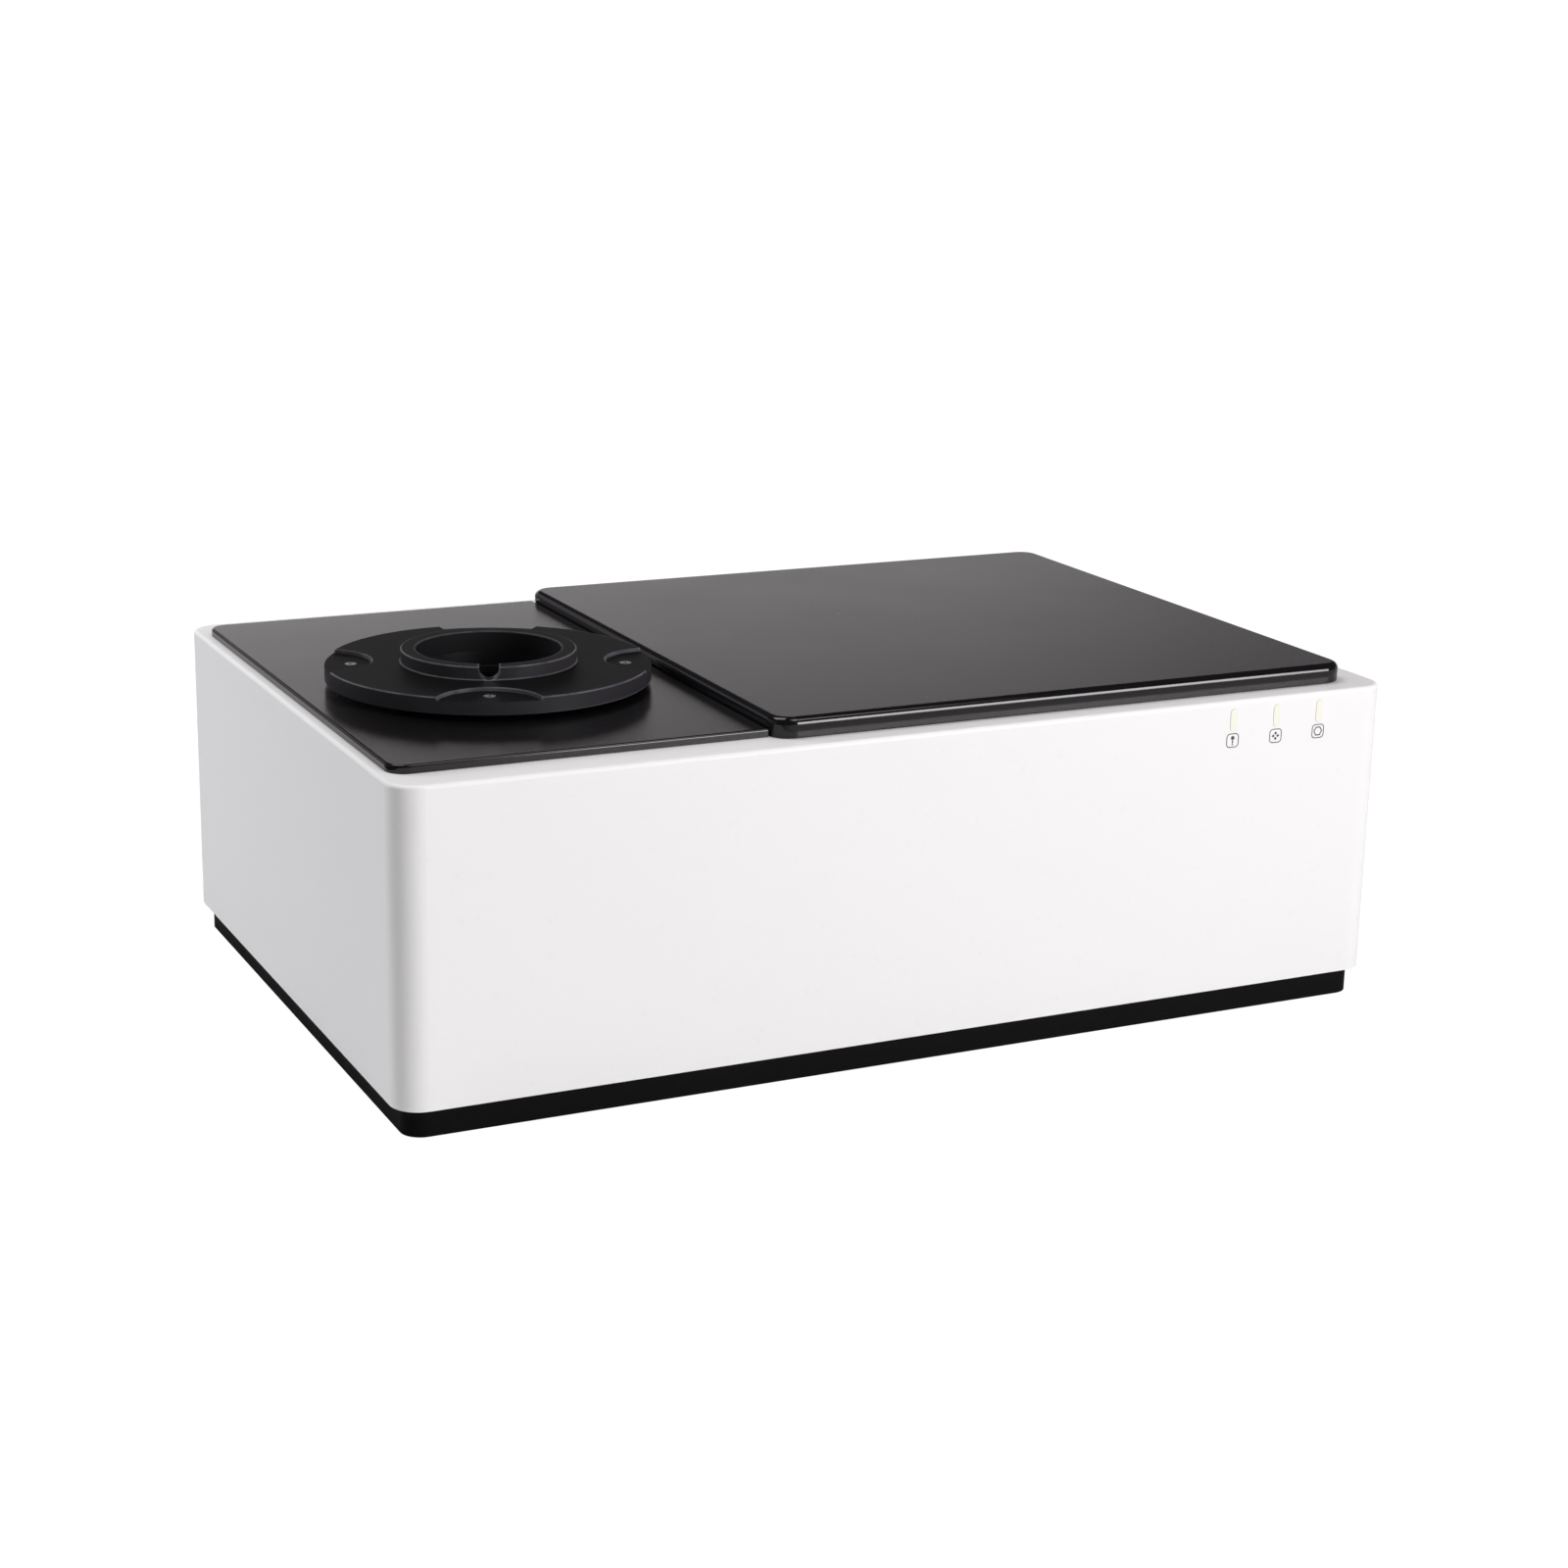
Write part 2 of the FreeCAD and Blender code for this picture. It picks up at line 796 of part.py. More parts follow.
def make_lid_gasket():
    start = lid_wall + gasket_inset
    end = start + gasket_width
    outer = rounded_box(lid_left + start, lid_right - start, lid_front + start, lid_rear - start,
                        shell_top, lid_top - lid_wall, lid_corner_radius - start)
    inner = rounded_box(lid_left + end, lid_right - end, lid_front + end, lid_rear - end,
                        shell_top - 1, lid_top, gasket_inner_radius)
    return outer.cut(inner)


# Rotating sample stage


def recess_angles():
    """Angles of the recesses, the notch's own first."""
    return [recess_turn + 360.0 / recess_count * step for step in range(recess_count)]


def make_turntable_disc():
    pocket = hub_flange_radius + hub_flange_gap
    profile = [(cup_bore_radius, flange_top), (pocket, flange_top), (pocket, disc_bottom),
               (disc_radius, disc_bottom), (disc_radius, disc_top), (collar_radius, disc_top),
               (collar_radius, collar_top), (cup_bore_radius, collar_top)]
    disc = revolve_profile(profile, stage_x, stage_y)
    foot = [edge for edge in edges_at(disc, disc_top)
            if abs(edge.Curve.Radius - collar_radius) < 1e-6]
    disc = disc.makeFillet(collar_foot_round, foot)
    disc = disc.makeFillet(collar_edge_round, edges_at(disc, collar_top))
    cuts = []
    for angle in recess_angles():
        x, y = polar(recess_centre_radius, angle, stage_x, stage_y)
        cuts.append(rod(recess_radius, disc_top - recess_depth, disc_top + 1, x, y))
    disc = disc.cut(Part.makeCompound(cuts))
    sharp = []
    for edge in edges_at(disc, disc_top):
        radius = edge.Curve.Radius
        if abs(radius - disc_radius) < 1e-6 or abs(radius - recess_radius) < 1e-6:
            sharp.append(edge)
    disc = disc.makeFillet(disc_edge_round, sharp)
    half = notch_width / 2
    notch = fuse([box(0, collar_radius + 2, -half, half, disc_top + half, collar_top + 1),
                  rod_x(half, 0, collar_radius + 2, 0, disc_top + half)])
    notch.rotate(V(0, 0, 0), Z_AXIS, recess_turn)
    notch.translate(V(stage_x, stage_y, 0))
    seats = []
    for angle in recess_angles():
        x, y = polar(stage_screw_radius, angle, stage_x, stage_y)
        seats.append(countersink(stage_screw_head, stage_screw_shank, disc_thickness,
                                 (x, y, disc_top - recess_depth), (0, 0, 1)))
    return disc.cut(notch).cut(Part.makeCompound(seats))


def make_turntable_screws():
    screws = []
    for angle in recess_angles():
        x, y = polar(stage_screw_radius, angle, stage_x, stage_y)
        screws.append(countersunk_screw(stage_screw_head, stage_screw_shank, stage_screw_length,
                                        (x, y, disc_top - recess_depth), (0, 0, 1)))
    return Part.makeCompound(screws)


def make_turntable_hub():
    profile = [(cup_lip_radius, cup_lip_top), (cup_bore_radius, cup_lip_top),
               (cup_bore_radius, flange_top), (hub_flange_radius, flange_top),
               (hub_flange_radius, flange_bottom), (hub_neck_radius, flange_bottom),
               (hub_neck_radius, neck_bottom), (hub_bore_radius, neck_bottom),
               (hub_bore_radius, cup_lip_bottom), (cup_lip_radius, cup_lip_bottom)]
    hub = revolve_profile(profile, stage_x, stage_y)
    holes = []
    for angle in recess_angles():
        x, y = polar(stage_screw_radius, angle, stage_x, stage_y)
        holes.append(rod(stage_screw_shank, flange_bottom - 1, flange_top + 1, x, y))
    return hub.cut(Part.makeCompound(holes))


def make_bearing_ring():
    return ring(bearing_ring_radius, hub_neck_radius, bearing_bottom, bearing_top, stage_x, stage_y)


def make_bearing_liner():
    return ring(liner_outer, liner_inner, bearing_bottom, bearing_top, stage_x, stage_y)


def make_bearing_seat():
    body = rod(seat_outer, bearing_bottom, shell_top, stage_x, stage_y)
    flange = rod(seat_flange, shell_top - bearing_flange_height, shell_top, stage_x, stage_y)
    seat = fuse([body, flange])
    return seat.cut(rod(liner_outer, bearing_bottom - 1, shell_top + 1, stage_x, stage_y))


def groove(path_radius, x, y):
    """Round groove that the belt runs in, with its running gap."""
    return Part.makeTorus(path_radius, belt_radius + belt_gap, V(x, y, belt_level), Z_AXIS)


def make_turntable_pulley():
    wheel = rod(pulley_radius, pulley_bottom, pulley_top, stage_x, stage_y)
    wheel = wheel.cut(rod(hub_neck_radius, neck_bottom, pulley_top + 1, stage_x, stage_y))
    wheel = wheel.cut(rod(hub_bore_radius, pulley_bottom - 1, pulley_top + 1, stage_x, stage_y))
    return wheel.cut(groove(belt_path_stage, stage_x, stage_y))


# Belt drive


def make_drive_belt():
    """Round belt: two arcs joined by the two tangents of the wheels."""
    lean = math.degrees(math.asin((belt_path_stage - belt_path_motor) / motor_distance))
    stage_from, stage_mid, stage_to = [
        V(*polar(belt_path_stage, angle, stage_x, stage_y), belt_level) for angle in (lean, 270, 180 - lean)]
    motor_from, motor_mid, motor_to = [
        V(*polar(belt_path_motor, angle, motor_x, motor_y), belt_level) for angle in (180 - lean, 90, lean)]
    path = Part.Wire([Part.Arc(stage_from, stage_mid, stage_to).toShape(),
                      Part.LineSegment(stage_to, motor_from).toShape(),
                      Part.Arc(motor_from, motor_mid, motor_to).toShape(),
                      Part.LineSegment(motor_to, stage_from).toShape()])
    away = path.Edges[1].tangentAt(0)
    start = path.Edges[1].valueAt(0)
    section = Part.Wire(Part.makeCircle(belt_radius, start, away))
    runs = Part.Wire([path.Edges[1], path.Edges[2], path.Edges[3], path.Edges[0]])
    return runs.makePipeShell([section], True, False)


def spacer_places():
    """X and Y of the spacers that hang the motor bracket from the deck."""
    rows = (motor_y - spacer_front, motor_y + spacer_rear)
    return [(motor_x + side * spacer_across / 2, y) for side in (-1, 1) for y in rows]


def make_motor_bracket():
    plate = rounded_box(motor_x - bracket_width / 2, motor_x + bracket_width / 2,
                        motor_y - bracket_depth / 2, motor_y + bracket_depth / 2,
                        bracket_bottom, bracket_top, bracket_corner_radius)
    hole = rod(motor_boss_radius + motor_boss_gap, bracket_bottom - 1, bracket_top + 1, motor_x, motor_y)
    return plate.cut(hole)


def make_bracket_spacers():
    return Part.makeCompound([rod(spacer_radius, bracket_top, shell_top, x, y) for x, y in spacer_places()])


def make_turntable_motor():
    half = motor_body / 2
    bottom = bracket_bottom - motor_length
    body = box(motor_x - half, motor_x + half, motor_y - half, motor_y + half, bottom, bracket_bottom)
    body = body.makeChamfer(motor_corner, upright_edges(body))
    body = fuse([body, rod(motor_boss_radius, bracket_bottom, bracket_bottom + motor_boss_height,
                           motor_x, motor_y)])
    bore = rod(motor_shaft_radius + shaft_running_gap, bracket_bottom - motor_shaft_seat,
               bracket_top, motor_x, motor_y)
    return body.cut(bore)


def make_motor_shaft():
    return rod(motor_shaft_radius, bracket_bottom - motor_shaft_seat + shaft_end_gap, pulley_top,
               motor_x, motor_y)


def make_motor_pulley():
    wheel = rod(motor_pulley_radius, neck_bottom, pulley_top, motor_x, motor_y)
    wheel = wheel.cut(rod(motor_shaft_radius, neck_bottom - 1, pulley_top + 1, motor_x, motor_y))
    return wheel.cut(groove(belt_path_motor, motor_x, motor_y))


# Window tower and light path


def make_window_tower():
    tube = ring(tower_radius, tower_bore_radius, block_top, tower_top, stage_x, stage_y)
    seat = rod(window_radius + window_gap, tower_top - window_thickness, tower_top + 1, stage_x, stage_y)
    return tube.cut(seat)


def make_sample_window():
    return rod(window_radius, tower_top - window_thickness, tower_top, stage_x, stage_y)


def lens(radius, edge, crown):
    """Plano-convex lens on the origin's XY plane, its dome up."""
    sphere_radius = (radius * radius + crown * crown) / (2 * crown)
    ball = Part.makeSphere(sphere_radius, V(0, 0, edge + crown - sphere_radius))
    return rod(radius, 0.0, edge + crown + 1).common(ball)


def make_condenser_lens():
    glass = lens(condenser_radius, condenser_edge, condenser_crown)
    glass.translate(V(stage_x, stage_y, block_top))
    return glass


def make_mirror_block():
    half = block_size / 2
    block = rounded_box(stage_x - half, stage_x + half, stage_y - half, stage_y + half,
                        bench_top, block_top, block_corner_radius)
    bore = rod(block_bore_radius, bench_top + block_floor, block_top + 1, stage_x, stage_y)
    exit_port = rod_x(exit_port_radius, stage_x, block_right + 1, stage_y, exit_axis)
    lamp_port = rod_x(lamp_port_radius, block_left - 1, stage_x, stage_y, lamp_axis)
    return block.cut(Part.makeCompound([bore, exit_port, lamp_port]))


def mirror_half_space(axis_level, slope):
    """Large wedge that covers everything above a 45 degree mirror face."""
    far = 200.0
    corners = [V(-far, 0, -far * slope), V(far, 0, far * slope), V(far * (1 - slope), 0, far * 2),
               V(-far * (1 + slope), 0, far * 2)]
    wedge = Part.Face(Part.makePolygon(corners + corners[:1])).extrude(V(0, 2 * far, 0))
    wedge.translate(V(stage_x, stage_y - far, axis_level))
    return wedge


def make_fold_mirror():
    """Rod mirror that turns the light from the window towards the unit."""
    body = rod(rod_mirror_radius, bench_top + block_floor, block_top, stage_x, stage_y)
    return body.cut(mirror_half_space(exit_axis, -1))


def make_pickoff_mirror():
    """Small rod mirror on a bar, which turns the lamp's light up."""
    bar_top = lamp_axis - pickoff_radius - pickoff_drop + pickoff_bar
    stem = rod(pickoff_radius, bar_top - pickoff_bar, block_top, stage_x, stage_y)
    stem = stem.cut(mirror_half_space(lamp_axis, 1))
    reach = math.sqrt(block_bore_radius ** 2 - (pickoff_bar / 2) ** 2)
    bar = box(stage_x - pickoff_bar / 2, stage_x + pickoff_bar / 2, stage_y - reach, stage_y + reach,
              bar_top - pickoff_bar, bar_top)
    return fuse([stem, bar])


def make_lamp_housing():
    x1 = block_left
    x0 = x1 - lamp_block_length
    half = lamp_block_width / 2
    low = lamp_axis - lamp_block_height / 2
    high = lamp_axis + lamp_block_height / 2
    body = box(x0, x1, stage_y - half, stage_y + half, low, high)
    cuts = [rod_x(lamp_bore_radius, x0 + lamp_lip, x1 + 1, stage_y, lamp_axis),
            rod_x(lamp_bore_radius - lamp_lip, x0 - 1, x1 + 1, stage_y, lamp_axis)]
    fins = int(lamp_block_length // lamp_fin_pitch)
    for step in range(1, fins):
        x = x0 + step * lamp_fin_pitch
        for y0, y1 in ((stage_y - half - 1, stage_y - half + lamp_fin_depth),
                       (stage_y + half - lamp_fin_depth, stage_y + half + 1)):
            cuts.append(box(x - lamp_fin_width / 2, x + lamp_fin_width / 2, y0, y1, low - 1, high + 1))
    return body.cut(Part.makeCompound(cuts))


def make_lamp_cap():
    x0 = block_left - lamp_block_length
    cap = rod_x(lamp_bore_radius - lamp_lip - lamp_fit_gap, x0 - lamp_cap_proud, x0 + lamp_lip,
                stage_y, lamp_axis)
    collar = rod_x(lamp_bore_radius - lamp_fit_gap, x0 + lamp_lip, x0 + lamp_cap_length,
                   stage_y, lamp_axis)
    return fuse([cap, collar])


def make_lamp_bulb():
    x0 = block_left - lamp_block_length + lamp_cap_length
    tip = x0 + bulb_length - bulb_radius
    body = rod_x(bulb_radius, x0, tip, stage_y, lamp_axis)
    return fuse([body, Part.makeSphere(bulb_radius, V(tip, stage_y, lamp_axis))])


def make_relay_barrel():
    tube = rod_x(barrel_radius, block_right, barrel_end, stage_y, exit_axis)
    bore = rod_x(barrel_bore, block_right + barrel_shoulder, barrel_end + 1, stage_y, exit_axis)
    throat = rod_x(exit_port_radius, block_right - 1, barrel_end + 1, stage_y, exit_axis)
    return tube.cut(bore.fuse(throat))


def make_relay_lens():
    glass = lens(barrel_bore, relay_lens_edge, relay_lens_crown)
    glass.rotate(V(0, 0, 0), Y_AXIS, 90)
    glass.translate(V(block_right + barrel_shoulder, stage_y, exit_axis))
    return glass


# Dark shutter


def make_shutter_bracket():
    half = shutter_plate_width / 2
    top = exit_axis + solenoid_radius + shutter_plate_above
    plate = box(barrel_end, barrel_end + shutter_plate_thickness, shutter_y - half, shutter_y + half,
                bench_top, top)
    foot = box(barrel_end - solenoid_length, barrel_end, shutter_y - half, shutter_y + half,
               bench_top, bench_top + shutter_foot_thickness)
    hole = rod_x(shutter_shaft_radius + shutter_hole_gap, barrel_end - 1,
                 barrel_end + shutter_plate_thickness + 1, shutter_y, exit_axis)
    return fuse([plate, foot]).cut(hole)


def make_shutter_solenoid():
    body = rod_x(solenoid_radius, barrel_end - solenoid_length, barrel_end, shutter_y, exit_axis)
    bore = rod_x(shutter_shaft_radius + shaft_running_gap, barrel_end - solenoid_length / 2,
                 barrel_end + 1, shutter_y, exit_axis)
    return body.cut(bore)


def make_shutter_flag():
    hub_end = shutter_hub_start + shutter_hub_length
    shaft = rod_x(shutter_shaft_radius, barrel_end - solenoid_length / 2 + shaft_end_gap, hub_end,
                  shutter_y, exit_axis)
    hub = rod_x(shutter_hub_radius, shutter_hub_start, hub_end, shutter_y, exit_axis)
    blade_end = shutter_hub_start + shutter_blade_thickness
    arm = box(shutter_hub_start, blade_end, shutter_y, stage_y,
              exit_axis - shutter_arm_width / 2, exit_axis + shutter_arm_width / 2)
    blade = rod_x(shutter_blade_radius, shutter_hub_start, blade_end, stage_y, exit_axis)
    return fuse([shaft, hub, arm, blade])


# Optical bench


def post_places():
    """X and Y of the posts under the bench."""
    return corner_points(bench_left, bench_right, bench_front, bench_rear, post_inset)


def make_optical_bench():
    plate = rounded_box(bench_left, bench_right, bench_front, bench_rear, bench_bottom, bench_top,
                        bench_corner_radius)
    hole_top = bench_bottom + post_stem_length + post_stem_end_gap
    holes = [rod(post_stem_radius, bench_bottom - 1, hole_top, x, y) for x, y in post_places()]
    return plate.cut(Part.makeCompound(holes))


def make_bench_post(x, y):
    post = rod(post_radius, base_top, bench_bottom, x, y)
    stem = rod(post_stem_radius - post_stem_gap, bench_bottom - 1, bench_bottom + post_stem_length, x, y)
    return fuse([post, stem])


# Spectrograph unit


def make_spectrograph_case():
    outer = rounded_box(unit_left, unit_right, unit_front, unit_rear, bench_top, unit_top,
                        unit_corner_radius)
    inner = box(unit_left + unit_wall, unit_right - unit_wall,
                unit_front + unit_wall, unit_rear - unit_wall,
                bench_top + unit_wall, unit_top + 1)
    port = rod_x(unit_port_radius, unit_left - 1, unit_left + unit_wall + 1, stage_y, exit_axis)
    return outer.cut(inner).cut(port)


def make_spectrograph_cover():
    cover_top = unit_top + unit_cover
    plate = rounded_box(unit_left, unit_right, unit_front, unit_rear, unit_top, cover_top,
                        unit_corner_radius)
    return plate.makeFillet(unit_cover_edge_round, edges_at(plate, cover_top))


def standing_block(width, thickness, height, x, y, turn):
    """Upright block on the unit's floor, its front face at the turn angle."""
    block = box(-thickness, 0, -width / 2, width / 2, 0, height)
    block.rotate(V(0, 0, 0), Z_AXIS, turn)
    block.translate(V(x, y, bench_top + unit_wall))
    return block


def make_spectrograph_mirrors():
    far = unit_right - unit_wall - mirror_width / 2
    first = standing_block(mirror_width, mirror_thickness, mirror_height, far, stage_y,
                           180 - mirror_tilt)
    second = standing_block(mirror_width, mirror_thickness, mirror_height, far,
                            unit_rear - far_mirror_from_rear, 180 + mirror_tilt)
    return Part.makeCompound([first, second])


def make_grating():
    x = unit_left + unit_wall + grating_from_wall
    return standing_block(grating_width, mirror_thickness, mirror_height, x,
                          unit_rear - grating_from_rear, grating_turn)


def make_detector():
    """Detector head on the unit's left wall, its round nose into the light."""
    y = unit_rear - detector_from_rear
    low = bench_top + unit_wall
    x0 = unit_left + unit_wall
    half = detector_size / 2
    body = box(x0, x0 + detector_depth, y - half, y + half, low, low + detector_size)
    nose = rod_x(detector_nose_radius, x0 + detector_depth - 1, x0 + detector_depth + detector_nose,
                 y, low + half)
    return fuse([body, nose])


# Electronics


def make_power_supply():
    x1 = inner_right - supply_wall_gap
    x0 = x1 - supply_length
    y0 = housing_front + supply_from_front
    y1 = y0 + supply_width
    case = box(x0, x1, y0, y1, base_top, base_top + supply_height)
    top = base_top + supply_height
    cuts = [box(x0 + supply_wall, x1 - supply_wall, y0 + supply_wall, y1 - supply_wall,
                base_top + supply_wall, top - supply_wall)]
    slots = int((supply_width - 2 * supply_vent_margin) // vent_pitch) + 1
    for step in range(slots):
        y = y0 + supply_vent_margin + step * vent_pitch
        cuts.append(box(x0 + supply_vent_inset, x1 - supply_vent_inset,
                        y - vent_width / 2, y + vent_width / 2, top - 2 * supply_wall, top + 1))
    return case.cut(Part.makeCompound(cuts))


def board_corner():
    """Left front corner of the main board."""
    return stage_x - board_inset, stage_y - board_width / 2


def make_main_board():
    x0, y0 = board_corner()
    level = base_top + board_post_height
    board = box(x0, x0 + board_length, y0, y0 + board_width, level, level + board_thickness)
    top = level + board_thickness

    def component(from_left, from_front, length, width, height):
        x = x0 + from_left
        y = y0 + from_front
        return box(x, x + length, y, y + width, top, top + height)

    rear_header = board_width - header_inset - header_width
    blocks = [component(processor_from_left, processor_from_front, processor_size, processor_size,
                        processor_height),
              component(memory_from_left, memory_from_front, memory_length, memory_width, memory_height),
              component(header_from_left, header_inset, header_length, header_width, header_height),
              component(header_from_left, rear_header, header_length, header_width, header_height)]
    cans = [rod(capacitor_radius, top, top + capacitor_height,
                x0 + capacitor_from_left + capacitor_pitch * step, y0 + board_width - capacitor_from_rear)
            for step in range(capacitor_count)]
    return fuse([board] + blocks + cans)


def make_board_posts():
    x0, y0 = board_corner()
    places = corner_points(x0, x0 + board_length, y0, y0 + board_width, board_inset)
    top = base_top + board_post_height
    return Part.makeCompound([rod(board_post_radius, base_top, top, x, y) for x, y in places])


# Indicators


def make_light_bar(x):
    """Light pipe through the front wall, with a flange behind the wall."""
    back = indicator_board_front - led_depth
    bar = bar_outline(0.0, housing_front - indicator_proud, back, x)
    flange = bar_outline(indicator_flange, inner_front, inner_front + indicator_flange, x)
    return fuse([bar, flange])


def make_indicator_board():
    places = indicator_places()
    middle = (indicator_low + indicator_top) / 2
    low = middle - indicator_board_height / 2
    high = min(middle + indicator_board_height / 2, shell_top - housing_wall - indicator_board_top_gap)
    board = box(places[0] - indicator_board_margin, places[-1] + indicator_board_margin,
                indicator_board_front, indicator_board_front + board_thickness, low, high)
    leds = [box(x - led_width / 2, x + led_width / 2,
                indicator_board_front - led_depth, indicator_board_front,
                middle - led_height / 2, middle + led_height / 2) for x in places]
    return fuse([board] + leds)


# Rear panel and what it carries


def make_rear_panel():
    panel = box(panel_left - panel_lap, panel_right + panel_lap, panel_inside, panel_face,
                panel_low - panel_lap, panel_high + panel_lap)
    cuts = []
    rows = int(guard_radius // guard_pitch)
    for row in range(-rows, rows + 1):
        z = fan_z + row * guard_pitch
        chord = math.sqrt(guard_radius ** 2 - (row * guard_pitch) ** 2)
        cuts.append(box(fan_x - chord, fan_x + chord, panel_inside - 1, panel_face + 1,
                        z - guard_slot / 2, z + guard_slot / 2))
    gap = socket_fit_gap
    for x, z, wide, tall in ((inlet_x, inlet_z, inlet_width, inlet_tall),
                             (switch_x, switch_z, rocker_width + 2 * (rocker_clearance + bezel_wall),
                              rocker_length + 2 * (rocker_clearance + bezel_wall)),
                             (data_x, usb_z, usb_width, usb_tall),
                             (data_x, ethernet_z, ethernet_width, ethernet_tall)):
        cuts.append(box(x - wide / 2 - gap, x + wide / 2 + gap, panel_inside - 1, panel_face + 1,
                        z - tall / 2 - gap, z + tall / 2 + gap))
    for x, z in panel_screw_places():
        cuts.append(rod_y(panel_screw_shank, panel_inside - 1, panel_face + 1, x, z))
    return panel.cut(Part.makeCompound(cuts))


def make_panel_screws():
    return Part.makeCompound([
        countersunk_screw(panel_screw_head, panel_screw_shank, panel_screw_length,
                          (x, housing_rear, z), (0, 1, 0)) for x, z in panel_screw_places()])


def make_fan_frame():
    half = fan_size / 2
    y1 = panel_inside
    y0 = y1 - fan_depth
    frame = box(fan_x - half, fan_x + half, y0, y1, fan_z - half, fan_z + half)
    along_y = [edge for edge in frame.Edges if edge.BoundBox.YLength > 1]
    frame = frame.makeFillet(fan_corner_radius, along_y)
    frame = frame.cut(rod_y(fan_bore_radius, y0 - 1, y1 + 1, fan_x, fan_z))
    cup = rod_y(fan_hub_radius - fan_cup_step, y0, y0 + fan_strut_depth, fan_x, fan_z)
    bore_end = y0 + fan_strut_depth + fan_rotor_gap + fan_hub_length - fan_hub_cap
    pin = rod_y(fan_pin_radius, y0, bore_end - fan_pin_end_gap, fan_x, fan_z)
    struts = [box(fan_x - fan_bore_radius - 1, fan_x + fan_bore_radius + 1, y0, y0 + fan_strut_depth,
                  fan_z - fan_strut_width / 2, fan_z + fan_strut_width / 2),
              box(fan_x - fan_strut_width / 2, fan_x + fan_strut_width / 2, y0, y0 + fan_strut_depth,
                  fan_z - fan_bore_radius - 1, fan_z + fan_bore_radius + 1)]
    return fuse([frame, cup, pin] + struts)


def make_fan_rotor():
    y0 = panel_inside - fan_depth + fan_strut_depth + fan_rotor_gap
    y1 = y0 + fan_hub_length
    hub = rod_y(fan_hub_radius, y0, y1, fan_x, fan_z)
    tip = fan_bore_radius - fan_tip_gap
    blades = []
    for step in range(fan_blade_count):
        half = fan_blade_chord / 2
        blade = box(fan_hub_radius - 2, tip, -half, half,
                    -fan_blade_thickness / 2, fan_blade_thickness / 2)
        blade.rotate(V(0, 0, 0), X_AXIS, fan_blade_pitch)
        blade.rotate(V(0, 0, 0), Y_AXIS, 360.0 / fan_blade_count * step)
        blade.translate(V(fan_x, (y0 + y1) / 2, fan_z))
        blades.append(blade)
    sweep = rod_y(tip, y0, y1, fan_x, fan_z)
    rotor = fuse([hub] + blades).common(sweep)
    bore = rod_y(fan_pin_radius + shaft_running_gap, y0 - 1, y1 - fan_hub_cap, fan_x, fan_z)
    return rotor.cut(bore)


def make_power_inlet():
    wide = inlet_width / 2
    tall = inlet_tall / 2
    face = panel_face + inlet_flange_thickness
    flange = box(inlet_x - wide - inlet_flange, inlet_x + wide + inlet_flange, panel_face, face,
                 inlet_z - tall - inlet_flange, inlet_z + tall + inlet_flange)
    along_y = [edge for edge in flange.Edges if edge.BoundBox.YLength > 1]
    flange = flange.makeFillet(inlet_corner_radius, along_y)
    body = box(inlet_x - wide, inlet_x + wide, face - inlet_depth, panel_face,
               inlet_z - tall, inlet_z + tall)
    cavity = box(inlet_x - inlet_cavity_width / 2, inlet_x + inlet_cavity_width / 2,
                 face - inlet_cavity_depth, face + 1,
                 inlet_z - inlet_cavity_height / 2, inlet_z + inlet_cavity_height / 2)
    low_corners = [edge for edge in cavity.Edges
                   if edge.BoundBox.YLength > 1 and edge.BoundBox.Center.z < inlet_z]
    cavity = cavity.makeChamfer(inlet_cavity_chamfer, low_corners)
    return fuse([flange, body]).cut(cavity)


def make_inlet_blades():
    face = panel_face + inlet_flange_thickness
    floor = face - inlet_cavity_depth
    places = ((-blade_spread, blade_offset), (0.0, -blade_offset), (blade_spread, blade_offset))
    blades = []
    for x_offset, z_offset in places:
        x = inlet_x + x_offset
        z = inlet_z + z_offset
        blades.append(box(x - blade_thickness / 2, x + blade_thickness / 2, floor, floor + blade_length,
                          z - blade_width / 2, z + blade_width / 2))
    return Part.makeCompound(blades)


def make_switch_bezel():
    wide = rocker_width / 2 + rocker_clearance
    tall = rocker_length / 2 + rocker_clearance
    face = panel_face + bezel_flange_thickness
    outer = box(switch_x - wide - bezel_wall, switch_x + wide + bezel_wall, face - bezel_depth, face,
                switch_z - tall - bezel_wall, switch_z + tall + bezel_wall)
    flange = box(switch_x - wide - bezel_flange, switch_x + wide + bezel_flange, panel_face, face,
                 switch_z - tall - bezel_flange, switch_z + tall + bezel_flange)
    well = box(switch_x - wide, switch_x + wide, face - bezel_depth + bezel_wall, face + 1,
               switch_z - tall, switch_z + tall)
    pivot_y, pivot_z = rocker_pivot()
    reach = rocker_width / 2 + rocker_pin_length + rocker_end_gap
    pin_hole = rod_x(rocker_pin_radius + shaft_running_gap, switch_x - reach, switch_x + reach,
                     pivot_y, pivot_z)
    return fuse([outer, flange]).cut(well).cut(pin_hole)


def rocker_pivot():
    """Y and Z of the rocker's pivot line."""
    return panel_face - rocker_pivot_depth, switch_z


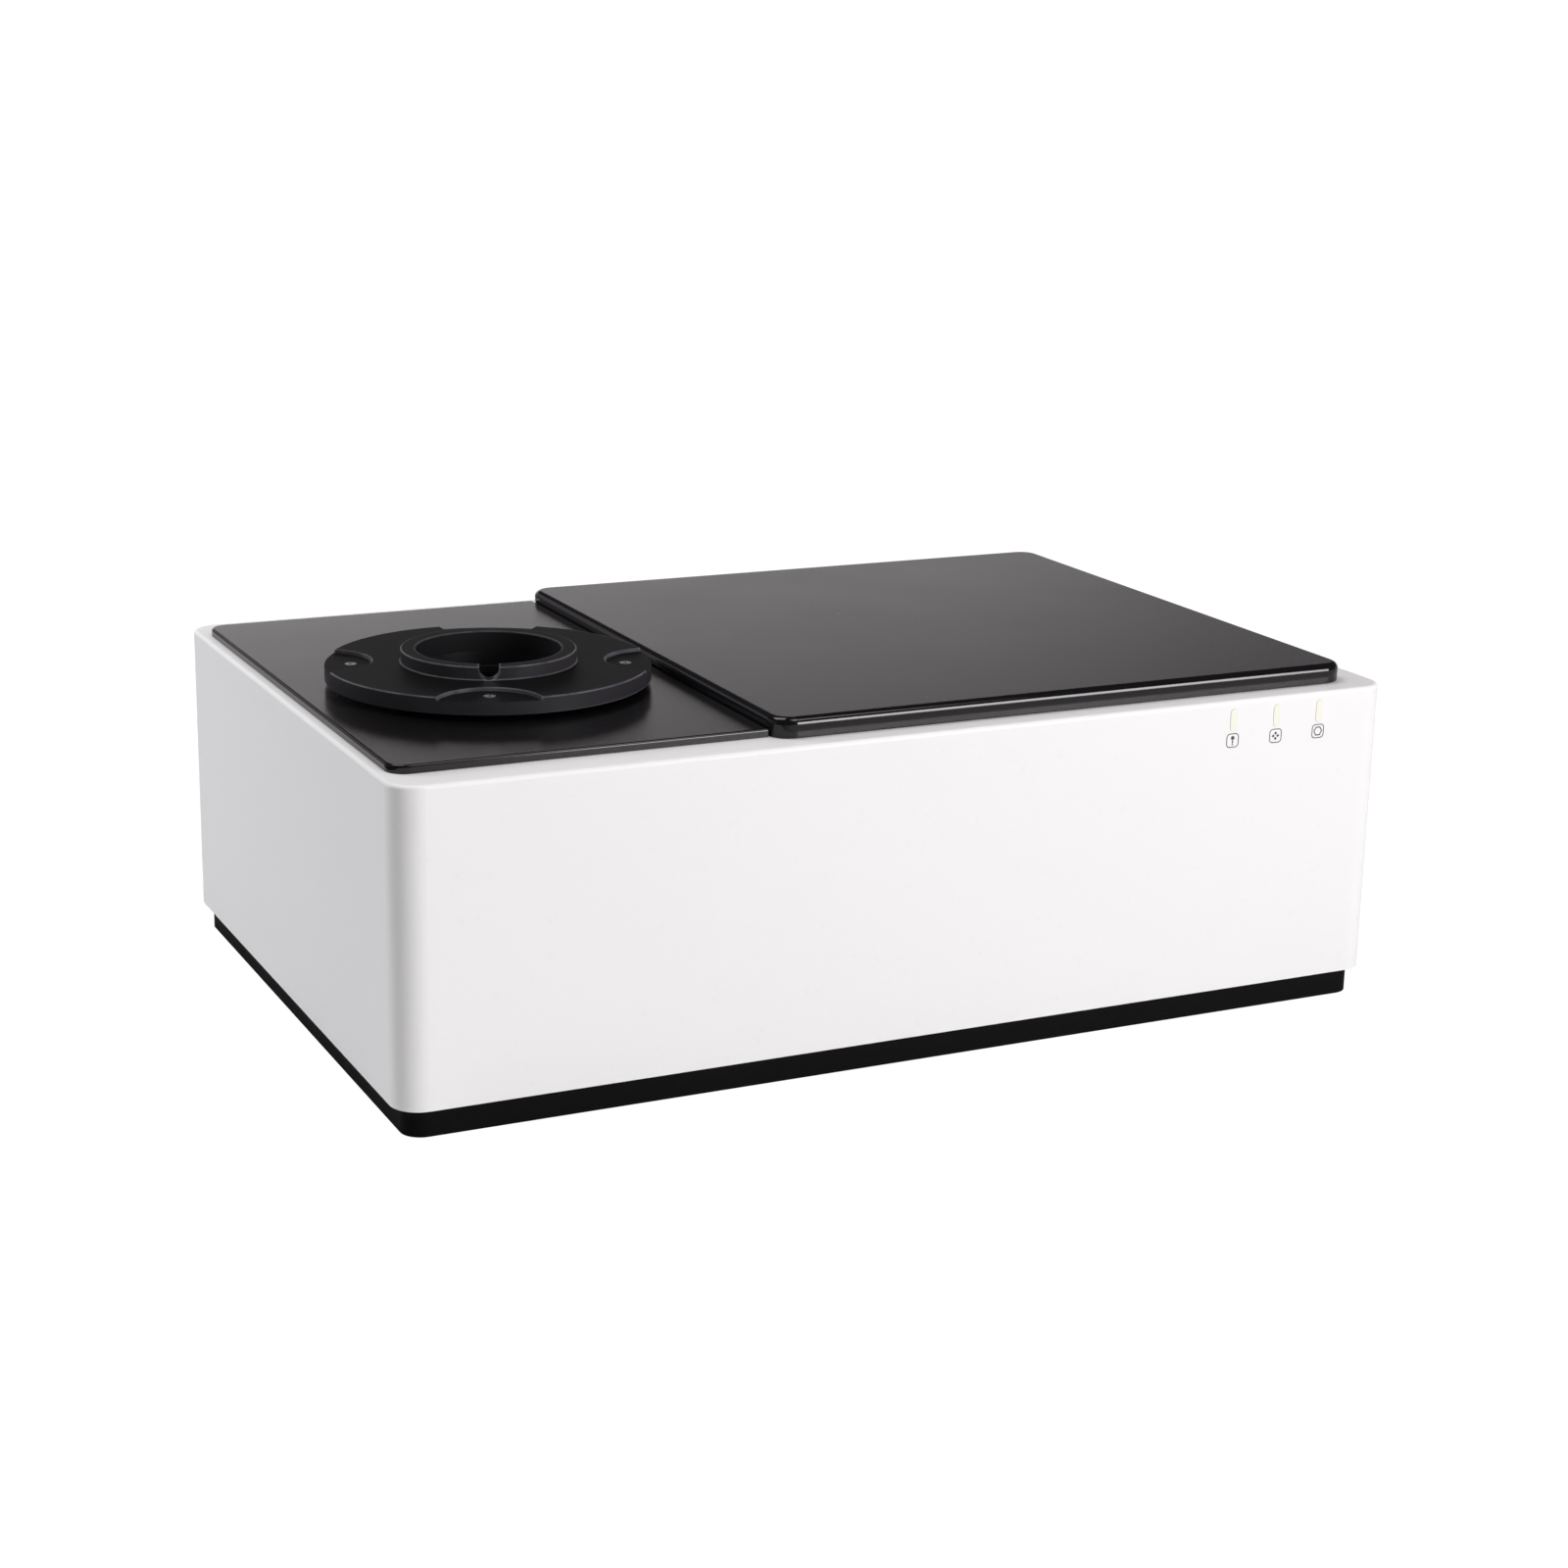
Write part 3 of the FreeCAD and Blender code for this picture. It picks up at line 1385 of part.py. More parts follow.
def make_power_rocker():
    """Rocker with a slightly hollow face, stored with its upper half pressed."""
    pivot_y, pivot_z = rocker_pivot()
    half = rocker_length / 2 - rocker_tip_gap
    corners = [V(0, -rocker_back, 0), V(0, -rocker_tip_back, half), V(0, rocker_rise, half),
               V(0, rocker_rise - rocker_hollow, 0), V(0, rocker_rise, -half),
               V(0, -rocker_tip_back, -half)]
    face = Part.Face(Part.makePolygon(corners + corners[:1]))
    rocker = face.extrude(V(rocker_width, 0, 0))
    rocker.translate(V(-rocker_width / 2, 0, 0))
    reach = rocker_width / 2 + rocker_pin_length
    rocker = fuse([rocker, rod_x(rocker_pin_radius, -reach, reach, 0, 0)])
    rocker.rotate(V(0, 0, 0), X_AXIS, rocker_tilt)
    rocker.translate(V(switch_x, pivot_y, pivot_z))
    return rocker


def make_usb_socket():
    wide = usb_width / 2
    tall = usb_tall / 2
    face = panel_face + socket_proud
    shell = box(data_x - wide, data_x + wide, face - usb_depth, face, usb_z - tall, usb_z + tall)
    cavity = box(data_x - wide + usb_wall, data_x + wide - usb_wall, face - usb_depth + usb_back, face + 1,
                 usb_z - tall + usb_wall, usb_z + tall - usb_wall)
    top_corners = [edge for edge in cavity.Edges
                   if edge.BoundBox.YLength > 1 and edge.BoundBox.Center.z > usb_z]
    cavity = cavity.makeChamfer(usb_corner, top_corners)
    tongue = box(data_x - usb_tongue_width / 2, data_x + usb_tongue_width / 2,
                 face - usb_depth + 1, face - usb_tongue_setback,
                 usb_z - usb_tongue_height / 2, usb_z + usb_tongue_height / 2)
    return fuse([shell.cut(cavity), tongue])


def make_ethernet_socket():
    wide = ethernet_width / 2
    tall = ethernet_tall / 2
    face = panel_face + socket_proud
    shell = box(data_x - wide, data_x + wide, face - ethernet_depth, face,
                ethernet_z - tall, ethernet_z + tall)
    cavity = box(data_x - ethernet_cavity_width / 2, data_x + ethernet_cavity_width / 2,
                 face - ethernet_cavity_depth, face + 1,
                 ethernet_z - ethernet_cavity_height / 2, ethernet_z + ethernet_cavity_height / 2)
    latch = box(data_x - latch_width / 2, data_x + latch_width / 2, face - ethernet_cavity_depth,
                face + 1, ethernet_z - ethernet_cavity_height / 2 - latch_depth, ethernet_z)
    return shell.cut(cavity).cut(latch)


def make_base_screws():
    return Part.makeCompound([
        pan_screw(base_screw_head, base_screw_head_height, base_screw_shank,
                  base_thickness + base_screw_bite - base_screw_end_gap, x, y, shell_bottom)
        for x, y in base_screw_places()])


def named_parts():
    """Every piece of the instrument by its node name."""
    parts = {
        "housing": make_housing(),
        "base_plate": make_base_plate(),
        "plinth": make_plinth(),
        "base_screws": make_base_screws(),
        "deck_plate": make_deck_plate(),
        "cover_studs": make_cover_studs(),
        "lid": make_lid(),
        "lid_gasket": make_lid_gasket(),
        "turntable_disc": make_turntable_disc(),
        "turntable_screws": make_turntable_screws(),
        "turntable_hub": make_turntable_hub(),
        "bearing_ring": make_bearing_ring(),
        "bearing_liner": make_bearing_liner(),
        "bearing_seat": make_bearing_seat(),
        "turntable_pulley": make_turntable_pulley(),
        "drive_belt": make_drive_belt(),
        "motor_bracket": make_motor_bracket(),
        "bracket_spacers": make_bracket_spacers(),
        "turntable_motor": make_turntable_motor(),
        "motor_shaft": make_motor_shaft(),
        "motor_pulley": make_motor_pulley(),
        "window_tower": make_window_tower(),
        "sample_window": make_sample_window(),
        "condenser_lens": make_condenser_lens(),
        "mirror_block": make_mirror_block(),
        "fold_mirror": make_fold_mirror(),
        "pickoff_mirror": make_pickoff_mirror(),
        "lamp_housing": make_lamp_housing(),
        "lamp_cap": make_lamp_cap(),
        "lamp_bulb": make_lamp_bulb(),
        "relay_barrel": make_relay_barrel(),
        "relay_lens": make_relay_lens(),
        "shutter_bracket": make_shutter_bracket(),
        "shutter_solenoid": make_shutter_solenoid(),
        "shutter_flag": make_shutter_flag(),
        "optical_bench": make_optical_bench(),
        "spectrograph_case": make_spectrograph_case(),
        "spectrograph_cover": make_spectrograph_cover(),
        "spectrograph_mirrors": make_spectrograph_mirrors(),
        "grating": make_grating(),
        "detector": make_detector(),
        "power_supply": make_power_supply(),
        "main_board": make_main_board(),
        "board_posts": make_board_posts(),
        "indicator_board": make_indicator_board(),
        "rear_panel": make_rear_panel(),
        "panel_screws": make_panel_screws(),
        "fan_frame": make_fan_frame(),
        "fan_rotor": make_fan_rotor(),
        "power_inlet": make_power_inlet(),
        "inlet_blades": make_inlet_blades(),
        "switch_bezel": make_switch_bezel(),
        "power_rocker": make_power_rocker(),
        "usb_socket": make_usb_socket(),
        "ethernet_socket": make_ethernet_socket(),
    }
    parts["bench_posts"] = Part.makeCompound([make_bench_post(x, y) for x, y in post_places()])
    parts["rubber_feet"] = Part.makeCompound([make_foot(x, y) for x, y in foot_places()])
    for number, x in enumerate(indicator_places(), 1):
        parts["light_bar_%d" % number] = make_light_bar(x)
    return parts


os.makedirs("parts", exist_ok=True)
for name, shape in named_parts().items():
    shape.exportStep(os.path.join("parts", name + ".step"))
    print("%-20s solids %d  volume %.0f  valid %s"
          % (name, len(shape.Solids), shape.Volume, shape.isValid()))
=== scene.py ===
# %% [markdown]
# # A bench near-infrared spectrometer
#
# The instrument is a white painted steel box that stands on a black plinth. A black deck on
# its left carries a rotating sample stage, and a black lid on its right covers the optics.
# Its solids come from the packed model and are never moved or reshaped here. This lesson
# gives them their finishes, adds the smallest trim, and sets up the studio round them.

# %% Load the packed model
import math

import bmesh
import bpy
from mathutils import Matrix, Vector


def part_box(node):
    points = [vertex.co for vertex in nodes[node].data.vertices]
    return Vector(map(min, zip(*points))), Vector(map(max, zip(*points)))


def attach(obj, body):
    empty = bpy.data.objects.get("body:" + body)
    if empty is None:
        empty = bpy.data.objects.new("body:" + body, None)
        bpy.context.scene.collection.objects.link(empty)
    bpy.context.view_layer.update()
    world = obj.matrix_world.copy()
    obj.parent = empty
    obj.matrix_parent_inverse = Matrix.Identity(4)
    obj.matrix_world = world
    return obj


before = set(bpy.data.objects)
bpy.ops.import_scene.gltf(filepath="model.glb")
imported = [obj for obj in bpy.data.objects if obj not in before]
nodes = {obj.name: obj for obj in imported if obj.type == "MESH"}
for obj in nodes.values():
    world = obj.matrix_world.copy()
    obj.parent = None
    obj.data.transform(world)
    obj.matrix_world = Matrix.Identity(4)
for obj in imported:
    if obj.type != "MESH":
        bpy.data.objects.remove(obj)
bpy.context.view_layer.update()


# %% [markdown]
# ## Lengths and colours
#
# Blender counts in metres, and the instrument is drawn in millimetres, so one constant turns
# one into the other. Colours are easiest to read as the 0 to 255 numbers of a screen, but the
# renderer adds up light, so each one is first turned into its linear amount.

# %% Lengths and colours
MM = 0.001


def tone(red, green, blue):
    """Screen colour as linear light."""
    def linear(level):
        share = level / 255
        return share / 12.92 if share <= 0.04045 else ((share + 0.055) / 1.055) ** 2.4
    return (linear(red), linear(green), linear(blue))


print("mid grey 128 is", round(tone(128, 128, 128)[0], 3), "in linear light")


# %% [markdown]
# ## Finishes written as sums
#
# A finish is a small machine of nodes. Wiring it by hand hides what it does, so a Signal
# stands for one wire, and sums on signals add the Math nodes. Single values go through Math.
# Colours and vectors go through Vector Math or Mix, because Math would turn them grey.

# %% Signals
class Signal:
    """One output of a node, on which sums can be written."""

    def __init__(self, finish, socket):
        self.finish = finish
        self.socket = socket

    def __add__(self, other):
        return self.finish.sum_of("ADD", self, other)

    def __radd__(self, other):
        return self.finish.sum_of("ADD", other, self)

    def __sub__(self, other):
        return self.finish.sum_of("SUBTRACT", self, other)

    def __rsub__(self, other):
        return self.finish.sum_of("SUBTRACT", other, self)

    def __mul__(self, other):
        return self.finish.sum_of("MULTIPLY", self, other)

    def __rmul__(self, other):
        return self.finish.sum_of("MULTIPLY", other, self)

    def __pow__(self, other):
        return self.finish.sum_of("POWER", self, other)


print("made the class", Signal.__name__, "-", Signal.__doc__)

# %% [markdown]
# A Finish owns one material. Its node() is the only place where nodes are made: settings
# come first, because some of them decide which sockets the node has, and then the sockets.
# A plain number is written on the socket, and only what changes over the surface is linked.

# %% The finish
class Finish:
    """A material whose nodes come from Python expressions."""

    def __init__(self, name):
        self.material = bpy.data.materials.new(name)
        self.material.use_nodes = True
        self.tree = self.material.node_tree
        self.tree.nodes.clear()

    def feed(self, socket, value):
        """Link a signal, or write a constant on the socket."""
        if isinstance(value, Signal):
            self.tree.links.new(value.socket, socket)
        elif socket.type == "RGBA":
            socket.default_value = (*value, 1.0)
        else:
            socket.default_value = value

    def node(self, kind, settings=None, sockets=None, output=0):
        """Add a node and give one of its outputs."""
        made = self.tree.nodes.new("ShaderNode" + kind)
        for name, value in (settings or {}).items():
            setattr(made, name, value)
        for name, value in (sockets or {}).items():
            self.feed(made.inputs[name], value)
        return Signal(self, made.outputs[output]) if made.outputs else None

    def sum_of(self, operation, first, second):
        """One Math node, or one Vector Math node where a vector or a colour takes part."""
        pair = (first, second)
        wide = any(isinstance(one, Signal) and one.socket.type != "VALUE" for one in pair)
        if wide:
            pair = [(one, one, one) if isinstance(one, (int, float)) else one for one in pair]
        kind = "VectorMath" if wide else "Math"
        return self.node(kind, {"operation": operation}, {0: pair[0], 1: pair[1]})


print("a finish can:", [name for name in vars(Finish) if not name.startswith("_")])


# %% [markdown]
# A few sums come back in every finish: where on the piece a point is, how much of one thing
# and how much of another, a cloud of grain, and a soft step from 0 to 1. Each is a function
# that takes the finish it adds to. Positions are object coordinates, which are metres in the
# instrument's own frame and turn with the piece.

# %% Where a point is and which way it faces
def place(finish):
    """Position of the point, in metres."""
    return finish.node("TexCoord", output="Object")


def parts_of(finish, vector):
    """The three numbers of a vector."""
    made = finish.node("SeparateXYZ", sockets={0: vector})
    return [Signal(finish, socket) for socket in made.socket.node.outputs]


def facing(finish):
    """The three numbers of the direction that the surface faces."""
    return parts_of(finish, finish.node("NewGeometry", output="Normal"))


print("position and direction ready")


# %% [markdown]
# A soft step turns any measure into a mask of 0 to 1, and a span is one step up and one down.
# Grain is noise whose scale is given as the size of its lumps, which is easier to judge on a
# real surface than a frequency is.

# %% Masks and grain
def step_up(finish, value, low, high):
    """0 below low, 1 above high and a soft slope between."""
    return finish.node("MapRange", {"interpolation_type": "SMOOTHSTEP"},
                       {"Value": value, "From Min": low, "From Max": high,
                        "To Min": 0.0, "To Max": 1.0})


def span(finish, value, low, high, soft):
    """1 between low and high, 0 outside."""
    rises = step_up(finish, value, low - soft, low)
    falls = step_up(finish, value, high, high + soft)
    return rises * (1 - falls)


def grain(finish, size, detail=2.0, where=None, rough=0.5):
    """Cloudy noise whose lumps are about as large as size, in metres."""
    where = where or place(finish)
    return finish.node("TexNoise", sockets={"Vector": where, "Scale": 1 / size, "Detail": detail,
                                            "Roughness": rough})


print("masks and grain ready")


# %% [markdown]
# A finish ends in one Principled surface. Its colours are blended by masks, and its fine
# height goes through a Bump node, which bends the light as small pits and ripples would.

# %% Colour, relief and surface
def blend(finish, share, low, high):
    """Colour that goes from low to high as share goes from 0 to 1."""
    return finish.node("Mix", {"data_type": "RGBA"}, {0: share, 6: low, 7: high}, 2)


def relief(finish, height, depth, strength=1.0):
    """Normal of a surface whose height of 0 to 1 is depth metres high."""
    return finish.node("Bump", sockets={"Height": height, "Distance": depth, "Strength": strength})


def surface(finish, **sockets):
    """Principled surface at the end of the wires."""
    named = {name.replace("_", " "): value for name, value in sockets.items()}
    shader = finish.node("BsdfPrincipled", sockets=named)
    finish.node("OutputMaterial", sockets={"Surface": shader})
    return finish.material


print("colour, relief and surface ready")


# %% [markdown]
# ## White powder coat
#
# The shell is folded sheet steel with a powder coat. Powder melts into a skin that is never
# quite flat: close up it has the faint ripple of orange peel, about a millimetre from crest to
# crest. Two clouds of noise give that ripple, and a much larger one varies the gloss a little,
# as hands and dust do. The paint itself is a warm off-white.

# %% Powder coats
def powder_coat(name, colour, ripple, depth, gloss, drift):
    """Paint with a ripple of that size and depth, whose tone drifts by that share."""
    finish = Finish(name)
    peel = grain(finish, ripple, 3.0) * 0.7 + grain(finish, ripple * 0.28, 2.0) * 0.3
    patches = grain(finish, 0.09, 3.0)
    dirt = step_up(finish, grain(finish, 0.004, 4.0), 0.62, 0.75)
    shade = blend(finish, patches, colour, [part * (1 - drift) for part in colour])
    shade = blend(finish, dirt * 0.06, shade, [part * 0.6 for part in colour])
    return surface(finish, Base_Color=shade,
                   Roughness=gloss + (patches - 0.5) * 0.12 + dirt * 0.05,
                   Normal=relief(finish, peel, depth))


shell_white = powder_coat("shell white", tone(243, 241, 241), 1.1 * MM, 0.012 * MM, 0.40, 0.015)
panel_grey = powder_coat("panel grey", tone(72, 73, 76), 0.6 * MM, 0.05 * MM, 0.55, 0.12)
print("powder coats:", shell_white.name, panel_grey.name)


# %% [markdown]
# ## Black lacquer with polished edges
#
# The deck and the lid are black. Their tops are satin with a very fine grain, so that they
# mirror what stands on them only as a blur, while their rounded edges were polished and show
# sharp lines of light. The direction that the surface faces tells one from the other: a top
# faces straight up. The long faint scuffs are noise that is stretched along one way. The lid
# has all of them and the deck fewer, and both carry a few pale specks of dust.

# %% Deck and lid
def black_lacquer(name, colour, top_gloss, edge_gloss, scuffs):
    """Satin on the tops and polished on the edges. More scuffs stand for more use."""
    finish = Finish(name)
    where = place(finish)
    up = facing(finish)[2]
    top = step_up(finish, up, 0.985, 0.9995)
    fine = grain(finish, 0.6 * MM, 2.0) * 0.6 + grain(finish, 1.4 * MM, 1.0) * 0.4
    cloud = grain(finish, 0.06, 4.0, rough=0.6)
    streak = finish.node("Mapping", {"vector_type": "TEXTURE"},
                         {"Vector": where, "Rotation": (0.0, 0.0, 0.5), "Scale": (9.0, 0.6, 1.0)})
    marks = step_up(finish, grain(finish, 0.012, 5.0, streak, 0.7), 0.56, 0.74) * scuffs
    dust = step_up(finish, grain(finish, 0.9 * MM, 1.0), 0.66, 0.78) * top
    satin = top_gloss + (fine - 0.5) * 0.10 + (cloud - 0.5) * 0.05 + marks * 0.015
    worn = blend(finish, top * (marks * 0.06 + cloud * 0.2), colour, tone(36, 34, 35))
    return surface(finish, Base_Color=blend(finish, dust * 0.10, worn, tone(84, 82, 83)),
                   Roughness=top * satin + (1 - top) * edge_gloss,
                   Specular_Tint=(1.0, 0.955, 0.965),
                   Normal=relief(finish, fine * top, 0.025 * MM, 0.8))


deck_black = black_lacquer("deck black", tone(11, 10, 11), 0.23, 0.10, 0.3)
lid_black = black_lacquer("lid black", tone(16, 15, 18), 0.25, 0.10, 1.0)
print("lacquers:", deck_black.name, lid_black.name)


# %% [markdown]
# ## The rotating stage
#
# The disc and its collar are one moulding in a charcoal plastic. The flat tops carry a coarse
# spark-eroded grain and stay dull, while the outer walls come smoother out of the mould. Light
# and shade are painted into its colour: the tops are painted darkest, the outer walls paler,
# and the wall of the bore darker than the outer walls; the bore is also duller. Pale lines on
# the rims are painted highlights. The disc is made of circles, so a point's distance from the
# spindle, from the nearest recess and from the notch tells how close it is to each rim, and
# thin rings of those distances draw the highlight lines.

# %% Where the stage has its rims
COLLAR_HEIGHT = 6.4 * MM
disc_low, disc_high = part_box("turntable_disc")
SPINDLE = ((disc_low.x + disc_high.x) / 2, (disc_low.y + disc_high.y) / 2)
COLLAR_TOP = disc_high.z
DISC_TOP = COLLAR_TOP - COLLAR_HEIGHT
DISC_BOTTOM = disc_low.z
DISC_RADIUS = 78.5 * MM
COLLAR_RADIUS = 42.3 * MM
BORE_RADIUS = 35.1 * MM
RECESS_RADIUS = 24.8 * MM
RECESS_FROM_SPINDLE = 80.8 * MM
RECESS_DEPTH = 1.6 * MM
NOTCH_HALF = 4.7 * MM
NOTCH_TURN = math.radians(250.2)
print("stage spindle at", [round(one, 4) for one in SPINDLE], "top at", round(COLLAR_TOP, 4))


# %% [markdown]
# The distances are sums on signals. A Math node takes the square root as a power of a half, and
# the smaller of two distances picks the nearest of the four recesses.

# %% Distances on the stage
def from_spindle(finish):
    """Offset from the spindle along x and y, distance from it and height."""
    x, y, z = parts_of(finish, place(finish))
    across = x - SPINDLE[0]
    along = y - SPINDLE[1]
    return across, along, (across * across + along * along) ** 0.5, z


def ring(finish, value, target, half):
    """1 within half of the target, fading out over the same width."""
    return span(finish, value, target - half, target + half, half)


def pick(finish, operation, first, second):
    """The smaller or the larger of two values."""
    return finish.node("Math", {"operation": operation}, {0: first, 1: second})


def recess_distance(finish, across, along):
    """Distance from the middle of the nearest finger recess."""
    nearest = 1.0
    for quarter in range(4):
        turn = NOTCH_TURN + quarter * math.pi / 2
        gap_x = across - RECESS_FROM_SPINDLE * math.cos(turn)
        gap_y = along - RECESS_FROM_SPINDLE * math.sin(turn)
        nearest = pick(finish, "MINIMUM", (gap_x * gap_x + gap_y * gap_y) ** 0.5, nearest)
    return nearest


def notch_distance(finish, across, along, height):
    """Distance from the middle line of the notch's round foot, and how far out the point is."""
    out = across * math.cos(NOTCH_TURN) + along * math.sin(NOTCH_TURN)
    beside = along * math.cos(NOTCH_TURN) - across * math.sin(NOTCH_TURN)
    below = pick(finish, "MINIMUM", height - (DISC_TOP + NOTCH_HALF), 0.0)
    return (beside * beside + below * below) ** 0.5, out


print("the notch points to", round(math.degrees(NOTCH_TURN), 1), "degrees")


# %% [markdown]
# Each painted highlight line is the meeting of two rings, such as the wall of the disc and its
# top. The rim's foot gets a painted highlight on its right only, the side that the light comes
# from.

# %% Painted rim highlights
def painted_rim_highlights(finish):
    """1 on every rim that gets a painted highlight line."""
    across, along, reach, height = from_spindle(finish)
    disc_wall = ring(finish, reach, DISC_RADIUS, 0.5 * MM)
    collar_wall = ring(finish, reach, COLLAR_RADIUS, 0.4 * MM)
    bore_wall = ring(finish, reach, BORE_RADIUS, 0.5 * MM)
    tops = ring(finish, height, COLLAR_TOP, 0.4 * MM)
    rims = disc_wall * ring(finish, height, DISC_TOP, 0.4 * MM)
    rims = rims + collar_wall * tops + bore_wall * tops * 0.6
    rims = rims + collar_wall * ring(finish, height, DISC_TOP, 0.35 * MM) * 0.7
    # The foot's painted highlight is kept to the right, where the light falls.
    on_right = step_up(finish, across, -20 * MM, 50 * MM)
    rims = rims + disc_wall * ring(finish, height, DISC_BOTTOM, 0.3 * MM) * on_right * 0.7
    recess_wall = ring(finish, recess_distance(finish, across, along), RECESS_RADIUS, 0.35 * MM)
    recess_height = span(finish, height, DISC_TOP - RECESS_DEPTH, DISC_TOP + 0.1 * MM, 0.1 * MM)
    rims = rims + recess_wall * recess_height * 0.8
    notch, out = notch_distance(finish, across, along, height)
    lips = pick(finish, "MAXIMUM", collar_wall, tops) * step_up(finish, out, 0.0, 1 * MM)
    return rims + ring(finish, notch, NOTCH_HALF, 0.35 * MM) * lips * 0.8


# The rims listed get painted highlight lines.
print("worn rims: disc, collar, bore, four recesses and the notch")


# %% [markdown]
# The plastic itself adds fine pits and large clouds to the painted rim highlights. A highlight
# makes a rim pale and a little glossier, but not evenly, so another cloud breaks the lines up.

# %% Stage plastic
def stage_plastic():
    """Dull tops painted darkest, paler painted walls, a bore painted darker and highlights painted on
    the rims.
    """
    finish = Finish("stage black")
    reach = from_spindle(finish)[2]
    outside = step_up(finish, reach, BORE_RADIUS + 0.2 * MM, BORE_RADIUS + 0.8 * MM)
    pits = grain(finish, 0.5 * MM, 2.0)
    cloud = grain(finish, 0.03, 4.0)
    top = step_up(finish, facing(finish)[2], 0.80, 0.98)
    uneven = step_up(finish, grain(finish, 0.008, 3.0), 0.30, 0.60) * 0.5 + 0.5
    highlight_lines = painted_rim_highlights(finish) * uneven
    # Painted light and shade: the bore's wall darker than the outer walls, the outer walls paler, and
    # the tops darkest.
    bore = blend(finish, cloud, tone(24, 23, 25), tone(31, 29, 32))
    outer_walls_painted_pale = blend(finish, cloud, tone(42, 40, 44), tone(50, 48, 52))
    wall = blend(finish, outside, bore, outer_walls_painted_pale)
    shade = blend(finish, top, wall, blend(finish, cloud, tone(9, 8, 9), tone(14, 13, 14)))
    # Painted highlights: pale lines along the rims.
    shade = blend(finish, highlight_lines * 0.8, shade, tone(100, 98, 104))
    dull = 0.70 - outside * 0.28 + top * 0.16
    return surface(finish, Base_Color=shade,
                   Roughness=dull + (pits - 0.5) * 0.14 - highlight_lines * 0.08,
                   Specular_IOR_Level=0.10,
                   Normal=relief(finish, pits, 0.02 * MM, 0.9))


stage_black = stage_plastic()
print("stage plastic ready")


# %% [markdown]
# ## Mouldings and rubber
#
# The plinth, the fan, the sockets and the rocker are moulded plastic, and the feet and the belt
# are moulded rubber. One function makes them all: a mould leaves an even grain, whose size and
# depth tell a coarse plinth from a smooth rocker. Rubber also blooms, which makes it greyer.

# %% Mouldings
def moulding(name, colour, grain_size, depth, gloss, bloom=0.15, shine=0.4):
    """Plastic or rubber. Bloom is the share of its surface that has turned pale."""
    finish = Finish(name)
    pits = grain(finish, grain_size, 2.0)
    cloud = grain(finish, 0.02, 4.0)
    pale = [part + 0.02 for part in colour]
    return surface(finish, Base_Color=blend(finish, cloud * bloom * 2, colour, pale),
                   Roughness=gloss + (cloud - 0.5) * 0.12 + (pits - 0.5) * 0.10,
                   Specular_IOR_Level=shine, Normal=relief(finish, pits, depth))


plinth_black = moulding("plinth black", tone(8, 8, 9), 0.7 * MM, 0.04 * MM, 0.62, 0.03, 0.08)
fan_black = moulding("fan black", tone(28, 28, 30), 0.5 * MM, 0.03 * MM, 0.48)
socket_black = moulding("socket black", tone(25, 25, 27), 0.4 * MM, 0.03 * MM, 0.50)
rocker_black = moulding("rocker black", tone(20, 20, 22), 0.8 * MM, 0.01 * MM, 0.28)
liner_polymer = moulding("liner polymer", tone(222, 216, 196), 0.5 * MM, 0.02 * MM, 0.45)
lamp_ceramic = moulding("lamp ceramic", tone(228, 222, 208), 0.3 * MM, 0.03 * MM, 0.70)
foot_rubber = moulding("foot rubber", tone(30, 30, 31), 0.9 * MM, 0.05 * MM, 0.82, 0.5)
belt_rubber = moulding("belt rubber", tone(38, 37, 36), 0.3 * MM, 0.02 * MM, 0.72, 0.5)
print("mouldings, from", plinth_black.name, "to", belt_rubber.name)


# %% [markdown]
# The gasket is a closed-cell foam. Its skin shows the cut cells as small domes that touch each
# other, and a Voronoi pattern gives just that: the distance to the nearest middle of a cell. The
# colour is painted darker towards the edge of each cell, as painted shade where the domes meet.

# %% Foam
def gasket_foam_finish():
    """Closed cells, drawn as small domes with painted shade where they meet."""
    finish = Finish("gasket foam")
    cells = finish.node("TexVoronoi", {"feature": "F1"},
                        {"Vector": place(finish), "Scale": 1 / (0.9 * MM)})
    # Painted shade: lighter in the middle of each cell and darker at its edge.
    shade = blend(finish, cells, tone(46, 46, 48), tone(26, 26, 27))
    return surface(finish, Base_Color=shade, Roughness=0.9,
                   Normal=relief(finish, 1 - cells, 0.15 * MM))


gasket_foam = gasket_foam_finish()
print("gasket:", gasket_foam.name)


# %% [markdown]
# ## Metals
#
# Sheet that is zinc plated shows flat grains with slightly different glints. A Voronoi
# pattern gives each grain one random tone. Screws and contacts have the same look, only with
# much finer grains.

# %% Plated metals
def plated(name, colour, grain_size, gloss, spread):
    """Plated sheet, whose flat grains are darker by up to the spread."""
    finish = Finish(name)
    spangle = finish.node("TexVoronoi", {"feature": "F1"},
                          {"Vector": place(finish), "Scale": 1 / grain_size}, "Color")
    glint = parts_of(finish, spangle)[0]
    haze = grain(finish, 0.015, 4.0)
    dull = [part * (1 - spread) for part in colour]
    return surface(finish, Base_Color=blend(finish, glint * 0.6 + haze * 0.4, dull, colour),
                   Metallic=1.0, Roughness=gloss + (glint - 0.5) * 0.16 + (haze - 0.5) * 0.10,
                   Normal=relief(finish, grain(finish, grain_size * 0.3, 2.0), 0.006 * MM))


